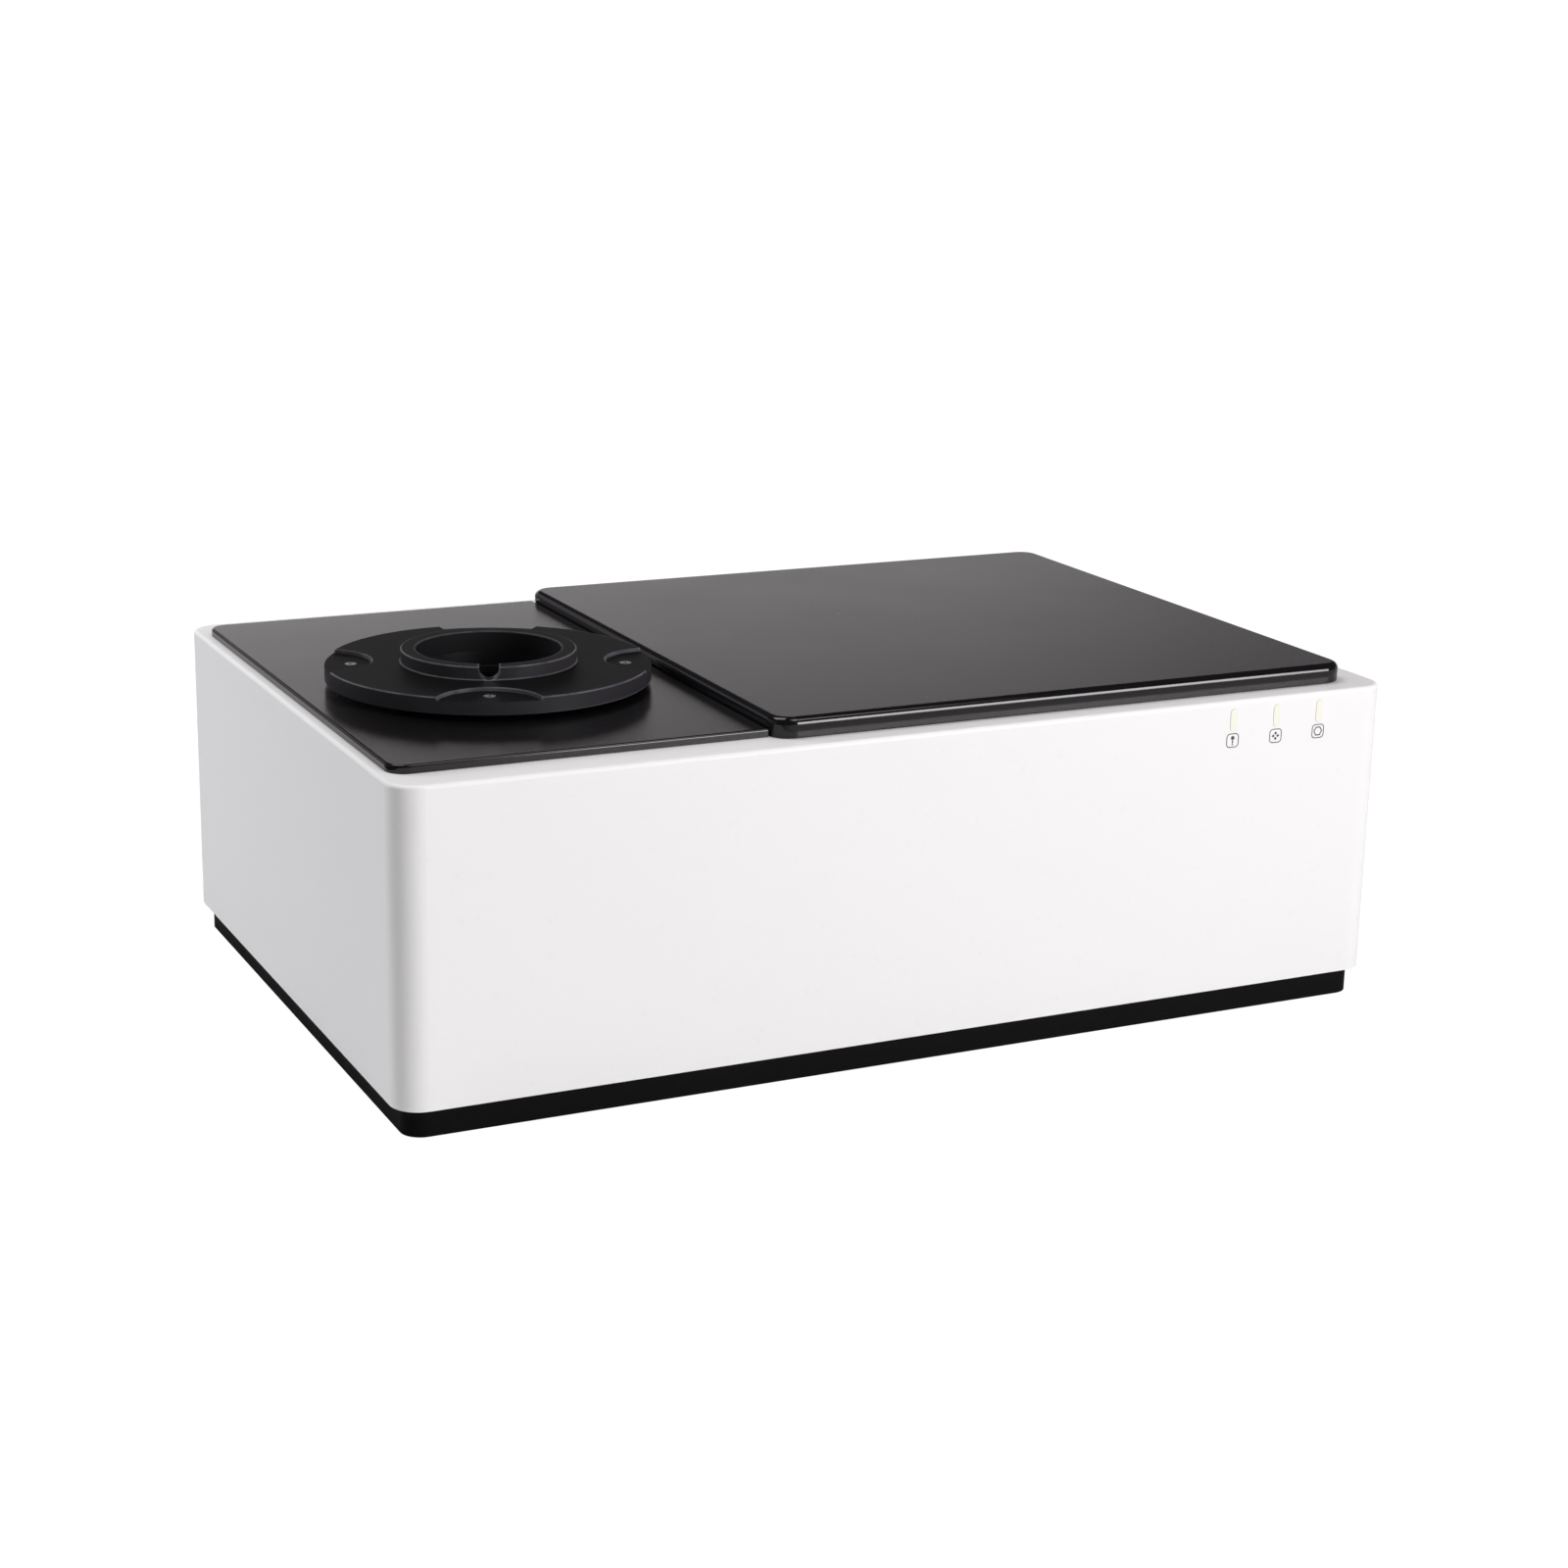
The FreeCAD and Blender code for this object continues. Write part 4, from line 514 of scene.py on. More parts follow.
zinc_steel = plated("zinc steel", tone(196, 198, 201), 3.5 * MM, 0.38, 0.22)
screw_steel = plated("screw steel", tone(205, 205, 204), 0.8 * MM, 0.28, 0.15)
screw_black = plated("screw black", tone(112, 112, 116), 0.8 * MM, 0.22, 0.45)
socket_metal = plated("socket metal", tone(206, 206, 208), 1.2 * MM, 0.26, 0.15)
blade_metal = plated("blade metal", tone(214, 212, 204), 1.0 * MM, 0.20, 0.12)
contact_gold = plated("contact gold", tone(222, 178, 98), 0.6 * MM, 0.22, 0.15)
print("plated metals, from", zinc_steel.name, "to", contact_gold.name)


# %% [markdown]
# Machined pieces keep the tool's fine lines. A milling cutter leaves straight strokes, drawn by
# noise that is squeezed across them. Anodised aluminium has the same lines under a matt black
# skin, so it counts as metal only in part.

# %% Milled metals
def milled(name, colour, metal, gloss, stretch=(1.0, 14.0, 14.0), line=0.9 * MM):
    """Straight strokes. The stretch squeezes the noise across them."""
    finish = Finish(name)
    strokes = finish.node("Mapping", {"vector_type": "POINT"},
                          {"Vector": place(finish), "Scale": stretch})
    lines = grain(finish, line * 8, 4.0, strokes, 0.65)
    haze = grain(finish, 0.02, 4.0)
    dull = [part * 0.80 for part in colour]
    return surface(finish, Base_Color=blend(finish, lines * 0.6 + haze * 0.4, dull, colour),
                   Metallic=metal, Roughness=gloss + (lines - 0.5) * 0.22 + (haze - 0.5) * 0.08,
                   Normal=relief(finish, lines, 0.008 * MM))


brass_post = milled("brass post", tone(206, 168, 92), 1.0, 0.28)
machined_aluminium = milled("machined aluminium", tone(208, 210, 214), 1.0, 0.32)
black_anodised = milled("black anodised", tone(34, 34, 37), 0.35, 0.48)
motor_black = milled("motor black", tone(34, 34, 36), 0.25, 0.42, (1.0, 1.0, 9.0), 1.2 * MM)
print("milled metals, from", brass_post.name, "to", motor_black.name)


# %% [markdown]
# A lathe leaves rings about the axis of the piece. The bearing, the hub and the large belt
# wheel all turn about the spindle, so the noise runs along the distance from it and the height.

# %% Turned metals
def turned_about_spindle(name, colour, metal, gloss):
    """Rings of a lathe tool, as noise along the distance from the spindle."""
    finish = Finish(name)
    reach, height = from_spindle(finish)[2:]
    turned = finish.node("CombineXYZ", sockets={0: reach, 1: height, 2: 0.0})
    rings = grain(finish, 0.5 * MM, 3.0, turned, 0.6)
    haze = grain(finish, 0.02, 4.0)
    dull = [part * 0.78 for part in colour]
    return surface(finish, Base_Color=blend(finish, rings * 0.7 + haze * 0.3, dull, colour),
                   Metallic=metal, Roughness=gloss + (rings - 0.5) * 0.2,
                   Normal=relief(finish, rings, 0.006 * MM))


turned_aluminium = turned_about_spindle("turned aluminium", tone(208, 210, 214), 1.0, 0.28)
turned_anodised = turned_about_spindle("turned anodised", tone(34, 34, 37), 0.35, 0.44)
print("metals done, materials so far:", len(bpy.data.materials))


# %% [markdown]
# ## Glass, mirrors and the grating
#
# Optical glass is clear, with a faint tint painted into its colour in place of the coloured
# sheen of its anti-reflection coat. The sample window also gathers a little dust, which shows
# only as rougher specks. A front-surface mirror is bright metal with almost no roughness, and
# the ruled grating is gold with lines that are far too fine to see; a soft change of colour
# across it is painted in place of the coloured light that those lines diffract.

# %% Optics
def clear_glass(name, tint, dust_share, ior):
    """Clear body with specks of dust and faint smears."""
    finish = Finish(name)
    specks = step_up(finish, grain(finish, 0.8 * MM, 2.0), 0.68, 0.80)
    smear = grain(finish, 0.012, 4.0)
    # Painted sheen: the tint stands in for the coloured sheen of the anti-reflection coat.
    shade = blend(finish, specks * dust_share, tint, tone(196, 196, 190))
    return surface(finish, Base_Color=shade, Transmission_Weight=1.0, IOR=ior,
                   Roughness=0.02 + specks * dust_share * 0.3 + smear * 0.03)


def front_mirror():
    """Bright metal film with a breath of haze."""
    finish = Finish("mirror coating")
    haze = grain(finish, 0.008, 4.0)
    specks = step_up(finish, grain(finish, 0.6 * MM, 1.0), 0.70, 0.78)
    shade = blend(finish, haze * 0.5, tone(236, 238, 240), tone(214, 218, 226))
    return surface(finish, Base_Color=shade, Metallic=1.0,
                   Roughness=0.04 + haze * 0.04 + specks * 0.15)


def ruled_gold():
    """Gold with lines a third of a millimetre apart, as a coarse stand-in for the ruling."""
    finish = Finish("grating gold")
    height = parts_of(finish, place(finish))[2]
    bands = grain(finish, 0.03, 1.0)
    # Painted sheen: the shift from gold to rose stands in for the light that the ruling diffracts.
    shade = blend(finish, bands, tone(232, 196, 112), tone(206, 150, 122))
    ruling = finish.node("Math", {"operation": "SINE"}, {0: height * (math.tau / (0.3 * MM))})
    return surface(finish, Base_Color=shade, Metallic=1.0,
                   Roughness=0.14 + bands * 0.06,
                   Normal=relief(finish, ruling * 0.5 + 0.5, 0.002 * MM))


window_glass = clear_glass("window glass", tone(240, 247, 245), 0.6, 1.46)
lens_glass = clear_glass("lens glass", tone(232, 244, 250), 0.2, 1.52)
bulb_glass = clear_glass("bulb glass", tone(250, 250, 248), 0.1, 1.46)
mirror_coating = front_mirror()
grating_gold = ruled_gold()
print("optics:", mirror_coating.name, grating_gold.name)


# %% [markdown]
# ## Circuit boards
#
# A board is glass fibre under a green mask. Copper tracks run under the mask in straight
# lines, so their pattern is a Voronoi texture measured in city blocks, seen as thin ridges.
# Everything that stands out from the board's own face is a component in a dark moulded case,
# so the distance from that face is enough to tell the two apart.

# %% Boards
def board_finish(name, face, axis):
    """Green board whose components start at face: above it on axis 2, in front of it on 1."""
    finish = Finish(name)
    where = place(finish)
    level = parts_of(finish, where)[axis]
    beyond = step_up(finish, level, face + 0.1 * MM, face + 0.2 * MM)
    if axis == 1:
        beyond = 1 - step_up(finish, level, face - 0.2 * MM, face - 0.1 * MM)
    tracks = finish.node("TexVoronoi", {"feature": "F1", "distance": "MANHATTAN"},
                         {"Vector": where, "Scale": 1 / (6 * MM)})
    copper = span(finish, tracks, 0.34, 0.40, 0.02) + span(finish, tracks, 0.58, 0.63, 0.02)
    pads = finish.node("TexVoronoi", {"feature": "F1"}, {"Vector": where, "Scale": 1 / (4 * MM)})
    tinned = 1 - step_up(finish, pads, 0.10, 0.14)
    mask = blend(finish, copper, tone(14, 84, 46), tone(34, 118, 66))
    mask = blend(finish, tinned, mask, tone(206, 206, 200))
    body = blend(finish, grain(finish, 0.004, 3.0), tone(24, 24, 26), tone(44, 44, 48))
    return surface(finish, Base_Color=blend(finish, beyond, mask, body),
                   Metallic=tinned * (1 - beyond), Roughness=0.32 + beyond * 0.25 + tinned * 0.05,
                   Normal=relief(finish, copper * (1 - beyond), 0.03 * MM))


board_low, board_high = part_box("main_board")
led_low, led_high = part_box("indicator_board")
BOARD_THICKNESS = 1.6 * MM
main_board_green = board_finish("main board", board_low.z + BOARD_THICKNESS, 2)
indicator_board_green = board_finish("indicator board", led_high.y - BOARD_THICKNESS, 1)
print("boards:", main_board_green.name, indicator_board_green.name)


# %% [markdown]
# ## Light bars and printed marks
#
# Each status light is a frosted bar of pale cream plastic that carries the light of a small
# lamp on the board behind it. It is off in the rest state, so it only looks like milky plastic,
# a little uneven in its tone. The marks under the bars are screen print: a thin film of grey
# ink, in which the printing mesh has left faint marks.

# %% Light bars and ink
def frosted_bar():
    """Milky plastic that lets light in a millimetre deep."""
    finish = Finish("light bar cream")
    cloud = grain(finish, 0.003, 3.0)
    pits = grain(finish, 0.25 * MM, 2.0)
    shade = blend(finish, cloud, tone(238, 236, 221), tone(244, 242, 231))
    return surface(finish, Base_Color=shade, Roughness=0.5 + (pits - 0.5) * 0.1,
                   Subsurface_Weight=0.15, Subsurface_Radius=(0.001, 0.001, 0.0008),
                   Normal=relief(finish, pits, 0.01 * MM))


def screen_print(name, colour, gloss):
    """Ink with the faint marks of the printing mesh."""
    finish = Finish(name)
    mesh_marks = grain(finish, 0.25 * MM, 2.0)
    shade = blend(finish, mesh_marks, colour, [min(part * 1.5, 1.0) for part in colour])
    return surface(finish, Base_Color=shade, Roughness=gloss + (mesh_marks - 0.5) * 0.1,
                   Normal=relief(finish, mesh_marks, 0.004 * MM))


light_bar_cream = frosted_bar()
legend_grey = screen_print("legend grey", tone(56, 58, 66), 0.5)
legend_white = screen_print("legend white", tone(214, 214, 212), 0.45)
print("light bars and inks:", light_bar_cream.name, legend_grey.name, legend_white.name)


# %% [markdown]
# ## Dressing the pieces
#
# Every solid of the model keeps its shape and gets one finish. The table reads like a parts
# list. Turned pieces that sit about the spindle get the lathe's rings, and the other machined
# pieces the straight strokes of a mill.

# %% Finishes by piece
DRESS = {
    shell_white: ["housing"],
    panel_grey: ["rear_panel"],
    deck_black: ["deck_plate"],
    lid_black: ["lid"],
    stage_black: ["turntable_disc"],
    plinth_black: ["plinth"],
    foot_rubber: ["rubber_feet"],
    belt_rubber: ["drive_belt"],
    gasket_foam: ["lid_gasket"],
    fan_black: ["fan_frame", "fan_rotor"],
    socket_black: ["power_inlet", "switch_bezel"],
    rocker_black: ["power_rocker"],
    liner_polymer: ["bearing_liner"],
    lamp_ceramic: ["lamp_cap"],
    zinc_steel: ["base_plate", "power_supply"],
    screw_steel: ["base_screws", "cover_studs", "bracket_spacers", "bench_posts", "motor_shaft"],
    screw_black: ["turntable_screws", "panel_screws"],
    socket_metal: ["usb_socket", "ethernet_socket"],
    blade_metal: ["inlet_blades"],
    brass_post: ["board_posts"],
    machined_aluminium: ["motor_bracket", "motor_pulley", "lamp_housing", "shutter_bracket",
                         "optical_bench", "detector"],
    turned_aluminium: ["bearing_ring", "bearing_seat", "turntable_pulley"],
    turned_anodised: ["turntable_hub", "window_tower"],
    black_anodised: ["mirror_block", "relay_barrel", "shutter_flag", "spectrograph_case",
                     "spectrograph_cover"],
    motor_black: ["turntable_motor", "shutter_solenoid"],
    window_glass: ["sample_window"],
    lens_glass: ["condenser_lens", "relay_lens"],
    bulb_glass: ["lamp_bulb"],
    mirror_coating: ["fold_mirror", "pickoff_mirror", "spectrograph_mirrors"],
    grating_gold: ["grating"],
    main_board_green: ["main_board"],
    indicator_board_green: ["indicator_board"],
    light_bar_cream: ["light_bar_1", "light_bar_2", "light_bar_3"],
}


def dress(piece, finish):
    """Give a piece its one finish."""
    piece.data.materials.clear()
    piece.data.materials.append(finish)


for finish, names in DRESS.items():
    for name in names:
        dress(nodes[name], finish)
undressed = sorted(set(nodes) - {name for names in DRESS.values() for name in names})
print("pieces without a finish:", undressed)


# %% [markdown]
# ## Flat shapes with a thickness
#
# Printed marks and contacts are thin plates. A plate starts as an outline, which is a list of
# points on a plane. Two functions draw the outlines that are needed: one a rectangle with round
# corners and one a circle, which is a hexagon or a square when it has few points.

# %% Outlines
def rounded_outline(half_width, half_height, radius, steps=6):
    """Points round a rectangle with round corners, about the origin."""
    points = []
    for corner, (side, level) in enumerate(((1, 1), (-1, 1), (-1, -1), (1, -1))):
        for step in range(steps + 1):
            angle = math.pi / 2 * (corner + step / steps)
            points.append((side * (half_width - radius) + radius * math.cos(angle),
                           level * (half_height - radius) + radius * math.sin(angle)))
    return points


def round_outline(radius, count=24):
    """Points round a circle, or round a polygon where count is small."""
    return [(radius * math.cos(math.tau * step / count),
             radius * math.sin(math.tau * step / count)) for step in range(count)]


def shifted(outline, across, up):
    """The same outline somewhere else on its plane."""
    return [(x + across, y + up) for x, y in outline]


print("a round outline has", len(round_outline(1.0)), "points, a rounded square",
      len(rounded_outline(1.0, 1.0, 0.5)))


# %% [markdown]
# An outline gets a back and side walls, so that it becomes a closed body with no loose faces. A
# frame is the same with a second outline inside, whose points pair up with the outer ones.

# %% Plates and frames
def add_plate(mesh, outline, thickness):
    """Closed plate between 0 and thickness."""
    low = [mesh.verts.new((x, y, 0.0)) for x, y in outline]
    high = [mesh.verts.new((x, y, thickness)) for x, y in outline]
    mesh.faces.new(list(reversed(low)))
    mesh.faces.new(high)
    for step in range(len(low)):
        after = (step + 1) % len(low)
        mesh.faces.new((low[step], low[after], high[after], high[step]))


def add_frame(mesh, outer, inner, thickness):
    """Closed plate with an opening whose points pair up with the outer ones."""
    rings = [[mesh.verts.new((x, y, z)) for x, y in outline]
             for outline, z in ((outer, 0.0), (outer, thickness), (inner, thickness), (inner, 0.0))]
    count = len(outer)
    for low, high in zip(rings, rings[1:] + rings[:1]):
        for step in range(count):
            after = (step + 1) % count
            mesh.faces.new((low[step], low[after], high[after], high[step]))


print("plates and frames ready")


# %% [markdown]
# A mesh becomes a piece when it has a name, a place, a finish and the body that it rides on. A
# flat sign is drawn upright on its own plane, and a matrix lays that plane on the front.

# %% From a mesh to a piece
def finish_piece(name, mesh, where, finish, body):
    """Turn a mesh into a named piece that rides on a body."""
    bmesh.ops.recalc_face_normals(mesh, faces=mesh.faces)
    data = bpy.data.meshes.new(name)
    mesh.to_mesh(data)
    mesh.free()
    data.transform(where)
    piece = bpy.data.objects.new(name, data)
    bpy.context.scene.collection.objects.link(piece)
    data.materials.append(finish)
    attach(piece, body)


def on_front(x, z, y):
    """Plane that faces the front: its own X goes right and its own Y goes up."""
    return Matrix(((1, 0, 0, x), (0, 0, -1, y), (0, 1, 0, z), (0, 0, 0, 1)))


print("front plane turns its own Z to", tuple(on_front(0, 0, 0).col[2].xyz))


# %% [markdown]
# ## Marks under the light bars
#
# Under each bar a rounded square holds a plain sign: a pin, four dots in a diamond, and a
# hexagon. The dots are so small that four corners draw each one. The signs are printed on the
# paint, so each is a film less than a tenth of a millimetre thick, sunk a little into the wall
# so that no gap shows.

# %% Printed marks
MARK_HALF = 3.6 * MM
MARK_LINE = 0.46 * MM
MARK_RADIUS = 2.0 * MM
MARK_DROP = 20.0 * MM
FILM = 0.09 * MM
SUNK = 0.03 * MM
PIN_HEAD = 1.05 * MM
PIN_HEAD_UP = 1.25 * MM
PIN_STEM = (0.36 * MM, 0.75 * MM, 0.3 * MM)
PIN_STEM_UP = -0.70 * MM
PIN_DOT = 0.42 * MM
PIN_DOT_UP = -2.1 * MM
DOT_RADIUS = 0.85 * MM
DOTS_APART = 1.35 * MM
HEXAGON_OUTER = 2.6 * MM
HEXAGON_INNER = 1.95 * MM
front_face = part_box("housing")[0].y
shell_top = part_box("housing")[1].z


def pin_sign(mesh):
    """Round head on a short stem with a dot under it."""
    add_plate(mesh, shifted(round_outline(PIN_HEAD), 0.0, PIN_HEAD_UP), FILM)
    add_plate(mesh, shifted(rounded_outline(*PIN_STEM), 0.0, PIN_STEM_UP), FILM)
    add_plate(mesh, shifted(round_outline(PIN_DOT), 0.0, PIN_DOT_UP), FILM)


def dots_sign(mesh):
    """Four dots in a diamond."""
    for across, up in round_outline(DOTS_APART, 4):
        add_plate(mesh, shifted(round_outline(DOT_RADIUS, 4), across, up), FILM)


def hexagon_sign(mesh):
    """Hexagonal ring."""
    add_frame(mesh, round_outline(HEXAGON_OUTER, 6), round_outline(HEXAGON_INNER, 6), FILM)


SIGNS = (pin_sign, dots_sign, hexagon_sign)
for number, sign in enumerate(SIGNS, 1):
    low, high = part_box("light_bar_%d" % number)
    mesh = bmesh.new()
    inner_half = MARK_HALF - MARK_LINE
    add_frame(mesh, rounded_outline(MARK_HALF, MARK_HALF, MARK_RADIUS),
              rounded_outline(inner_half, inner_half, MARK_RADIUS - MARK_LINE), FILM)
    sign(mesh)
    middle = (low.x + high.x) / 2
    level = shell_top - MARK_DROP
    finish_piece("printed_mark_%d" % number, mesh, on_front(middle, level, front_face + SUNK),
                 legend_grey, "root")
print("printed marks:", len(SIGNS))


# %% [markdown]
# ## Contacts in the sockets
#
# The sockets on the rear are bare shells in the model. Eight gold strips hang from the roof of
# the network socket, and four lie on the tongue of the square data socket. They are real thin
# strips, stamped from sheet, and each is sunk a little into the plastic that holds it.

# %% Contacts
NETWORK_COUNT = 8
NETWORK_PITCH = 1.02 * MM
NETWORK_ROOF = 4.1 * MM
NETWORK_STRIP = (0.45 * MM, 9 * MM, 0.30 * MM)
NETWORK_SUNK = 0.25 * MM
NETWORK_DEEP = 8 * MM
TONGUE_TOP = 1.56 * MM
TONGUE_FOOT = 1.68 * MM
DATA_OFFSET = 1.25 * MM
DATA_STRIP = (1.1 * MM, 7 * MM, 0.12 * MM)
DATA_DEEP = 6 * MM


def add_strip(mesh, x, y, z, wide, long, thick):
    """Flat strip about x and y whose foot is at z, and its three sizes."""
    outline = [(x - wide / 2, y - long / 2), (x + wide / 2, y - long / 2),
               (x + wide / 2, y + long / 2), (x - wide / 2, y + long / 2)]
    before = len(mesh.verts)
    add_plate(mesh, outline, thick)
    mesh.verts.ensure_lookup_table()
    for point in mesh.verts[before:]:
        point.co.z += z


network_low, network_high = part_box("ethernet_socket")
data_low, data_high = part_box("usb_socket")
socket_x = (network_low.x + network_high.x) / 2
roof = (network_low.z + network_high.z) / 2 + NETWORK_ROOF
mesh = bmesh.new()
for number in range(NETWORK_COUNT):
    from_middle = (number - (NETWORK_COUNT - 1) / 2) * NETWORK_PITCH
    add_strip(mesh, socket_x + from_middle, network_high.y - NETWORK_DEEP,
              roof - NETWORK_SUNK, *NETWORK_STRIP)
finish_piece("network_contacts", mesh, Matrix.Identity(4), contact_gold, "root")
tongue = (data_low.z + data_high.z) / 2
mesh = bmesh.new()
for side in (-1, 1):
    for z in (tongue + TONGUE_TOP, tongue - TONGUE_FOOT):
        add_strip(mesh, socket_x + side * DATA_OFFSET, data_high.y - DATA_DEEP, z, *DATA_STRIP)
finish_piece("data_contacts", mesh, Matrix.Identity(4), contact_gold, "root")
print("contacts:", NETWORK_COUNT, "in the network socket and 4 in the data socket")


# %% [markdown]
# ## Signs on the mains rocker
#
# A bar and a ring are printed on the two slopes of the rocker. Each slope leans a few degrees
# from the panel, so the plane of its sign is turned by the same angle about the rocker's pin,
# and the signs ride on the rocker.

# %% Rocker signs
ROCKER_PIN = (164.5 * MM, 115 * MM)
ROCKER_TILT = math.radians(8)
SLOPE_RUN = 8.4
ROCKER_SLOPE = math.atan(1 / SLOPE_RUN)
SIGN_OUT = 3.5 * MM
SIGN_RISE = 4.2 * MM
BAR = (0.35 * MM, 1.8 * MM, 0.2 * MM)
RING_OUTER = 1.9 * MM
RING_INNER = 1.3 * MM
rocker_low, rocker_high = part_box("power_rocker")
rocker_x = (rocker_low.x + rocker_high.x) / 2


def on_rocker(side):
    """Plane on the middle of the upper (1) or lower (-1) slope."""
    lean = ROCKER_TILT - side * ROCKER_SLOPE
    rise = side * SIGN_RISE
    y = ROCKER_PIN[0] + SIGN_OUT * math.cos(ROCKER_TILT) - rise * math.sin(ROCKER_TILT)
    z = ROCKER_PIN[1] + SIGN_OUT * math.sin(ROCKER_TILT) + rise * math.cos(ROCKER_TILT)
    face = Vector((0, math.cos(lean), math.sin(lean)))
    up = Vector((0, -face.z, face.y))
    spot = Vector((rocker_x, y, z)) - face * SUNK
    return Matrix(((-1, up.x, face.x, spot.x), (0, up.y, face.y, spot.y),
                   (0, up.z, face.z, spot.z), (0, 0, 0, 1)))


mesh = bmesh.new()
add_plate(mesh, rounded_outline(*BAR), FILM)
finish_piece("rocker_bar", mesh, on_rocker(1), legend_white, "power_rocker_body")
mesh = bmesh.new()
add_frame(mesh, round_outline(RING_OUTER), round_outline(RING_INNER), FILM)
finish_piece("rocker_ring", mesh, on_rocker(-1), legend_white, "power_rocker_body")
print("rocker signs at", round(SIGN_RISE / MM, 1), "mm above and below the pin")


# %% [markdown]
# ## The camera
#
# The instrument is seen from the front left and a little above. The lens, the place and the
# three angles were worked out from the box's own edges, which meet at three vanishing points.
# That way gives the camera's place in widths of the box, from its lower left front corner. The
# angles are in radians.

# %% Camera
YAW = 0.454868995
PITCH = 0.272230490
ROLL = 0.0203029183
FOCAL_SHARE = 2954.72 / 1600
FILM_WIDTH = 36.0
BOX_WIDTH = 520 * MM
BOX_CORNER = (-260 * MM, -170.5 * MM, 15 * MM)
CAMERA_IN_WIDTHS = (-0.71269046, -2.18142808, 0.932087895)
CAMERA_PLACE = Vector([corner + widths * BOX_WIDTH
                       for corner, widths in zip(BOX_CORNER, CAMERA_IN_WIDTHS)])


def camera_turn(yaw, pitch, roll):
    """Rotation of a camera that looks along yaw, down by pitch and tilts by roll."""
    ahead = Vector((math.sin(yaw) * math.cos(pitch), math.cos(yaw) * math.cos(pitch),
                    -math.sin(pitch)))
    right = Vector((math.cos(yaw), -math.sin(yaw), 0.0))
    up = right.cross(ahead)
    side = math.cos(roll) * right + math.sin(roll) * up
    top = -math.sin(roll) * right + math.cos(roll) * up
    return Matrix((side, top, -ahead)).transposed()


camera_data = bpy.data.cameras.new("camera")
camera_data.sensor_width = FILM_WIDTH
camera_data.lens = FILM_WIDTH * FOCAL_SHARE
camera_data.clip_start = 0.05
camera = bpy.data.objects.new("camera", camera_data)
camera.matrix_world = camera_turn(YAW, PITCH, ROLL).to_4x4()
camera.location = CAMERA_PLACE
bpy.context.scene.collection.objects.link(camera)
bpy.context.scene.camera = camera
print("lens", round(camera_data.lens, 1), "mm, at", [round(one, 3) for one in CAMERA_PLACE])


# %% [markdown]
# ## Floor
#
# The background is a plain white sweep. The camera must see it as pure white and still see the
# instrument's shadow, so a camera ray gets mostly white light of its own and a share of lit
# paper. On the left the floor is dark to mirrored rays, as black card laid there would make it,
# which keeps the left wall and the plinth from mirroring white.

# %% Floor
def floor_finish():
    """Paper that shows the shadow but is white to the camera."""
    finish = Finish("floor white")
    seen = finish.node("LightPath", output="Is Camera Ray")
    mirrored = finish.node("LightPath", output="Is Glossy Ray")
    shaded_side = 1 - step_up(finish, parts_of(finish, place(finish))[0], -0.80, -0.10)
    cloud = blend(finish, grain(finish, 0.5, 2.0), tone(198, 198, 198), tone(204, 204, 204))
    paper = finish.node("BsdfDiffuse", sockets={
        "Color": blend(finish, mirrored * shaded_side * 0.9, cloud, tone(20, 20, 20))})
    white = finish.node("Emission", sockets={"Color": (1.0, 1.0, 1.0), "Strength": 1.20})
    both = finish.node("MixShader", sockets={0: seen * 0.82, 1: paper, 2: white})
    finish.node("OutputMaterial", sockets={"Surface": both})
    return finish.material


floor_mesh = bmesh.new()
bmesh.ops.create_grid(floor_mesh, x_segments=8, y_segments=8, size=6.0)
floor_data = bpy.data.meshes.new("floor")
floor_mesh.to_mesh(floor_data)
floor_mesh.free()
floor = bpy.data.objects.new("floor", floor_data)
bpy.context.scene.collection.objects.link(floor)
floor_data.materials.append(floor_finish())
print("floor of", len(floor_data.polygons), "squares")


# %% [markdown]
# ## World
#
# White light from all round would wash the instrument out, so the world asks which ray is
# looking. Camera rays see white. Mirrored rays see a studio whose back wall is bright up to a
# slanting line and dark above it. It brightens to the right and dims again at its far end,
# which gives the black tops their slow gradient. All other rays see an even grey that fills the shadows.

# %% World
bpy.context.scene.view_settings.view_transform = "Standard"
world = bpy.data.worlds.new("studio")
bpy.context.scene.world = world
world.use_nodes = True


class Sky(Finish):
    """The same sums, on the world's nodes."""

    def __init__(self, owner):
        self.tree = owner.node_tree
        self.tree.nodes.clear()


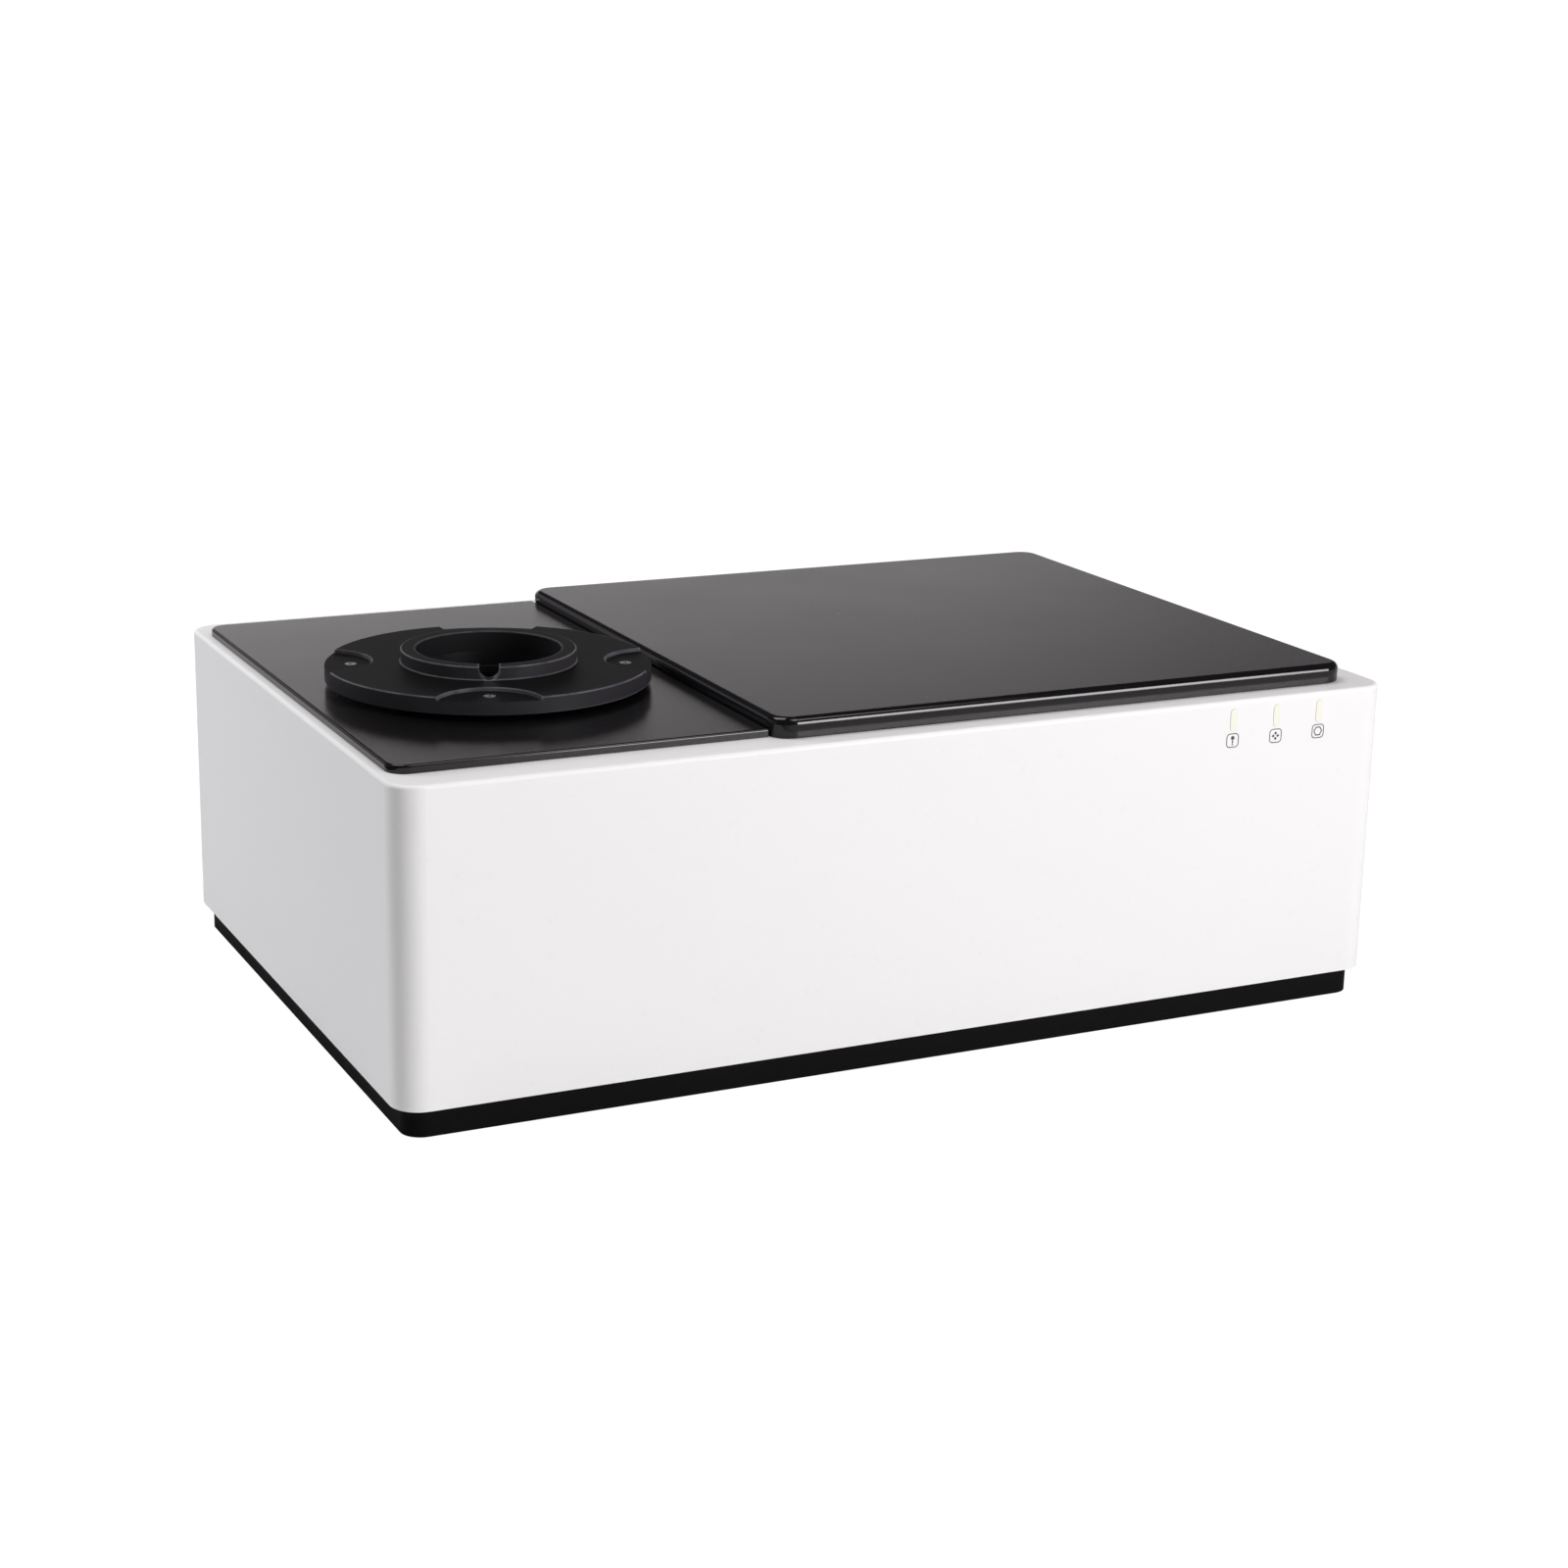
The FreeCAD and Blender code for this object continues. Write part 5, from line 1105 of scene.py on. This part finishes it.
sky = Sky(world)
right, ahead, height = parts_of(sky, sky.node("TexCoord", output="Generated"))
low_band = 1 - step_up(sky, height + right * 0.2, 0.260, 0.350)
to_right = step_up(sky, right, -0.35, 0.10) * 0.75 + 0.25
fading = 1 - step_up(sky, right, 0.48, 0.62) * 0.45
glow = low_band * to_right * fading * step_up(sky, ahead, -0.5, 0.3) * 1.05 + 0.04
seen = sky.node("LightPath", output="Is Camera Ray")
mirrored = pick(sky, "MAXIMUM", sky.node("LightPath", output="Is Glossy Ray"),
                sky.node("LightPath", output="Is Transmission Ray"))
strength = seen * 1.04 + (1 - seen) * (mirrored * glow + (1 - mirrored) * 0.22)
tint = blend(sky, mirrored, (1.0, 1.0, 1.0), (1.0, 0.955, 0.975))
shine = sky.node("Background", sockets={"Color": tint, "Strength": strength})
sky.node("OutputWorld", sockets={"Surface": shine})
print("world nodes:", len(sky.tree.nodes))


# %% [markdown]
# ## Studio lights
#
# Two large soft boxes do most of the work. The key stands to the right of the front and the
# other behind the left side, so that both walls are bright while the round corner between them
# faces neither and stays darker. The key also draws the bright line on the lid's rounded front
# edge. Two weaker boxes hang high over the left and over the front, and light the white rim
# round the black tops. The lid would mirror the left box as a white patch to anyone on the
# right, so that box is kept out of reflections.

# %% Lights
TARGET = Vector((0.0, 0.0, 0.09))


def soft_box(name, azimuth, elevation, distance, width, height, watts):
    """Area lamp that looks at the instrument. Azimuth 0 is the front, 90 the right."""
    lamp = bpy.data.lights.new(name, "AREA")
    lamp.shape = "RECTANGLE"
    lamp.size = width
    lamp.size_y = height
    lamp.energy = watts
    turn, rise = math.radians(azimuth), math.radians(elevation)
    away = Vector((math.sin(turn) * math.cos(rise), -math.cos(turn) * math.cos(rise),
                   math.sin(rise)))
    box = bpy.data.objects.new(name, lamp)
    box.location = TARGET + away * distance
    box.rotation_euler = away.to_track_quat("Z", "Y").to_euler()
    bpy.context.scene.collection.objects.link(box)
    return box


soft_box("key", 28, 12, 3.0, 1.2, 1.3, 58)
left_box = soft_box("left", -132, 20, 2.6, 1.1, 0.9, 31)
left_box.data.color = (0.95, 0.96, 1.0)
left_box.visible_glossy = False
soft_box("high left", -125, 70, 2.2, 1.2, 1.2, 17)
soft_box("high front", 30, 62, 2.4, 1.0, 1.0, 10)
print("lights:", [one.name for one in bpy.data.lights])


# %% [markdown]
# ## The end
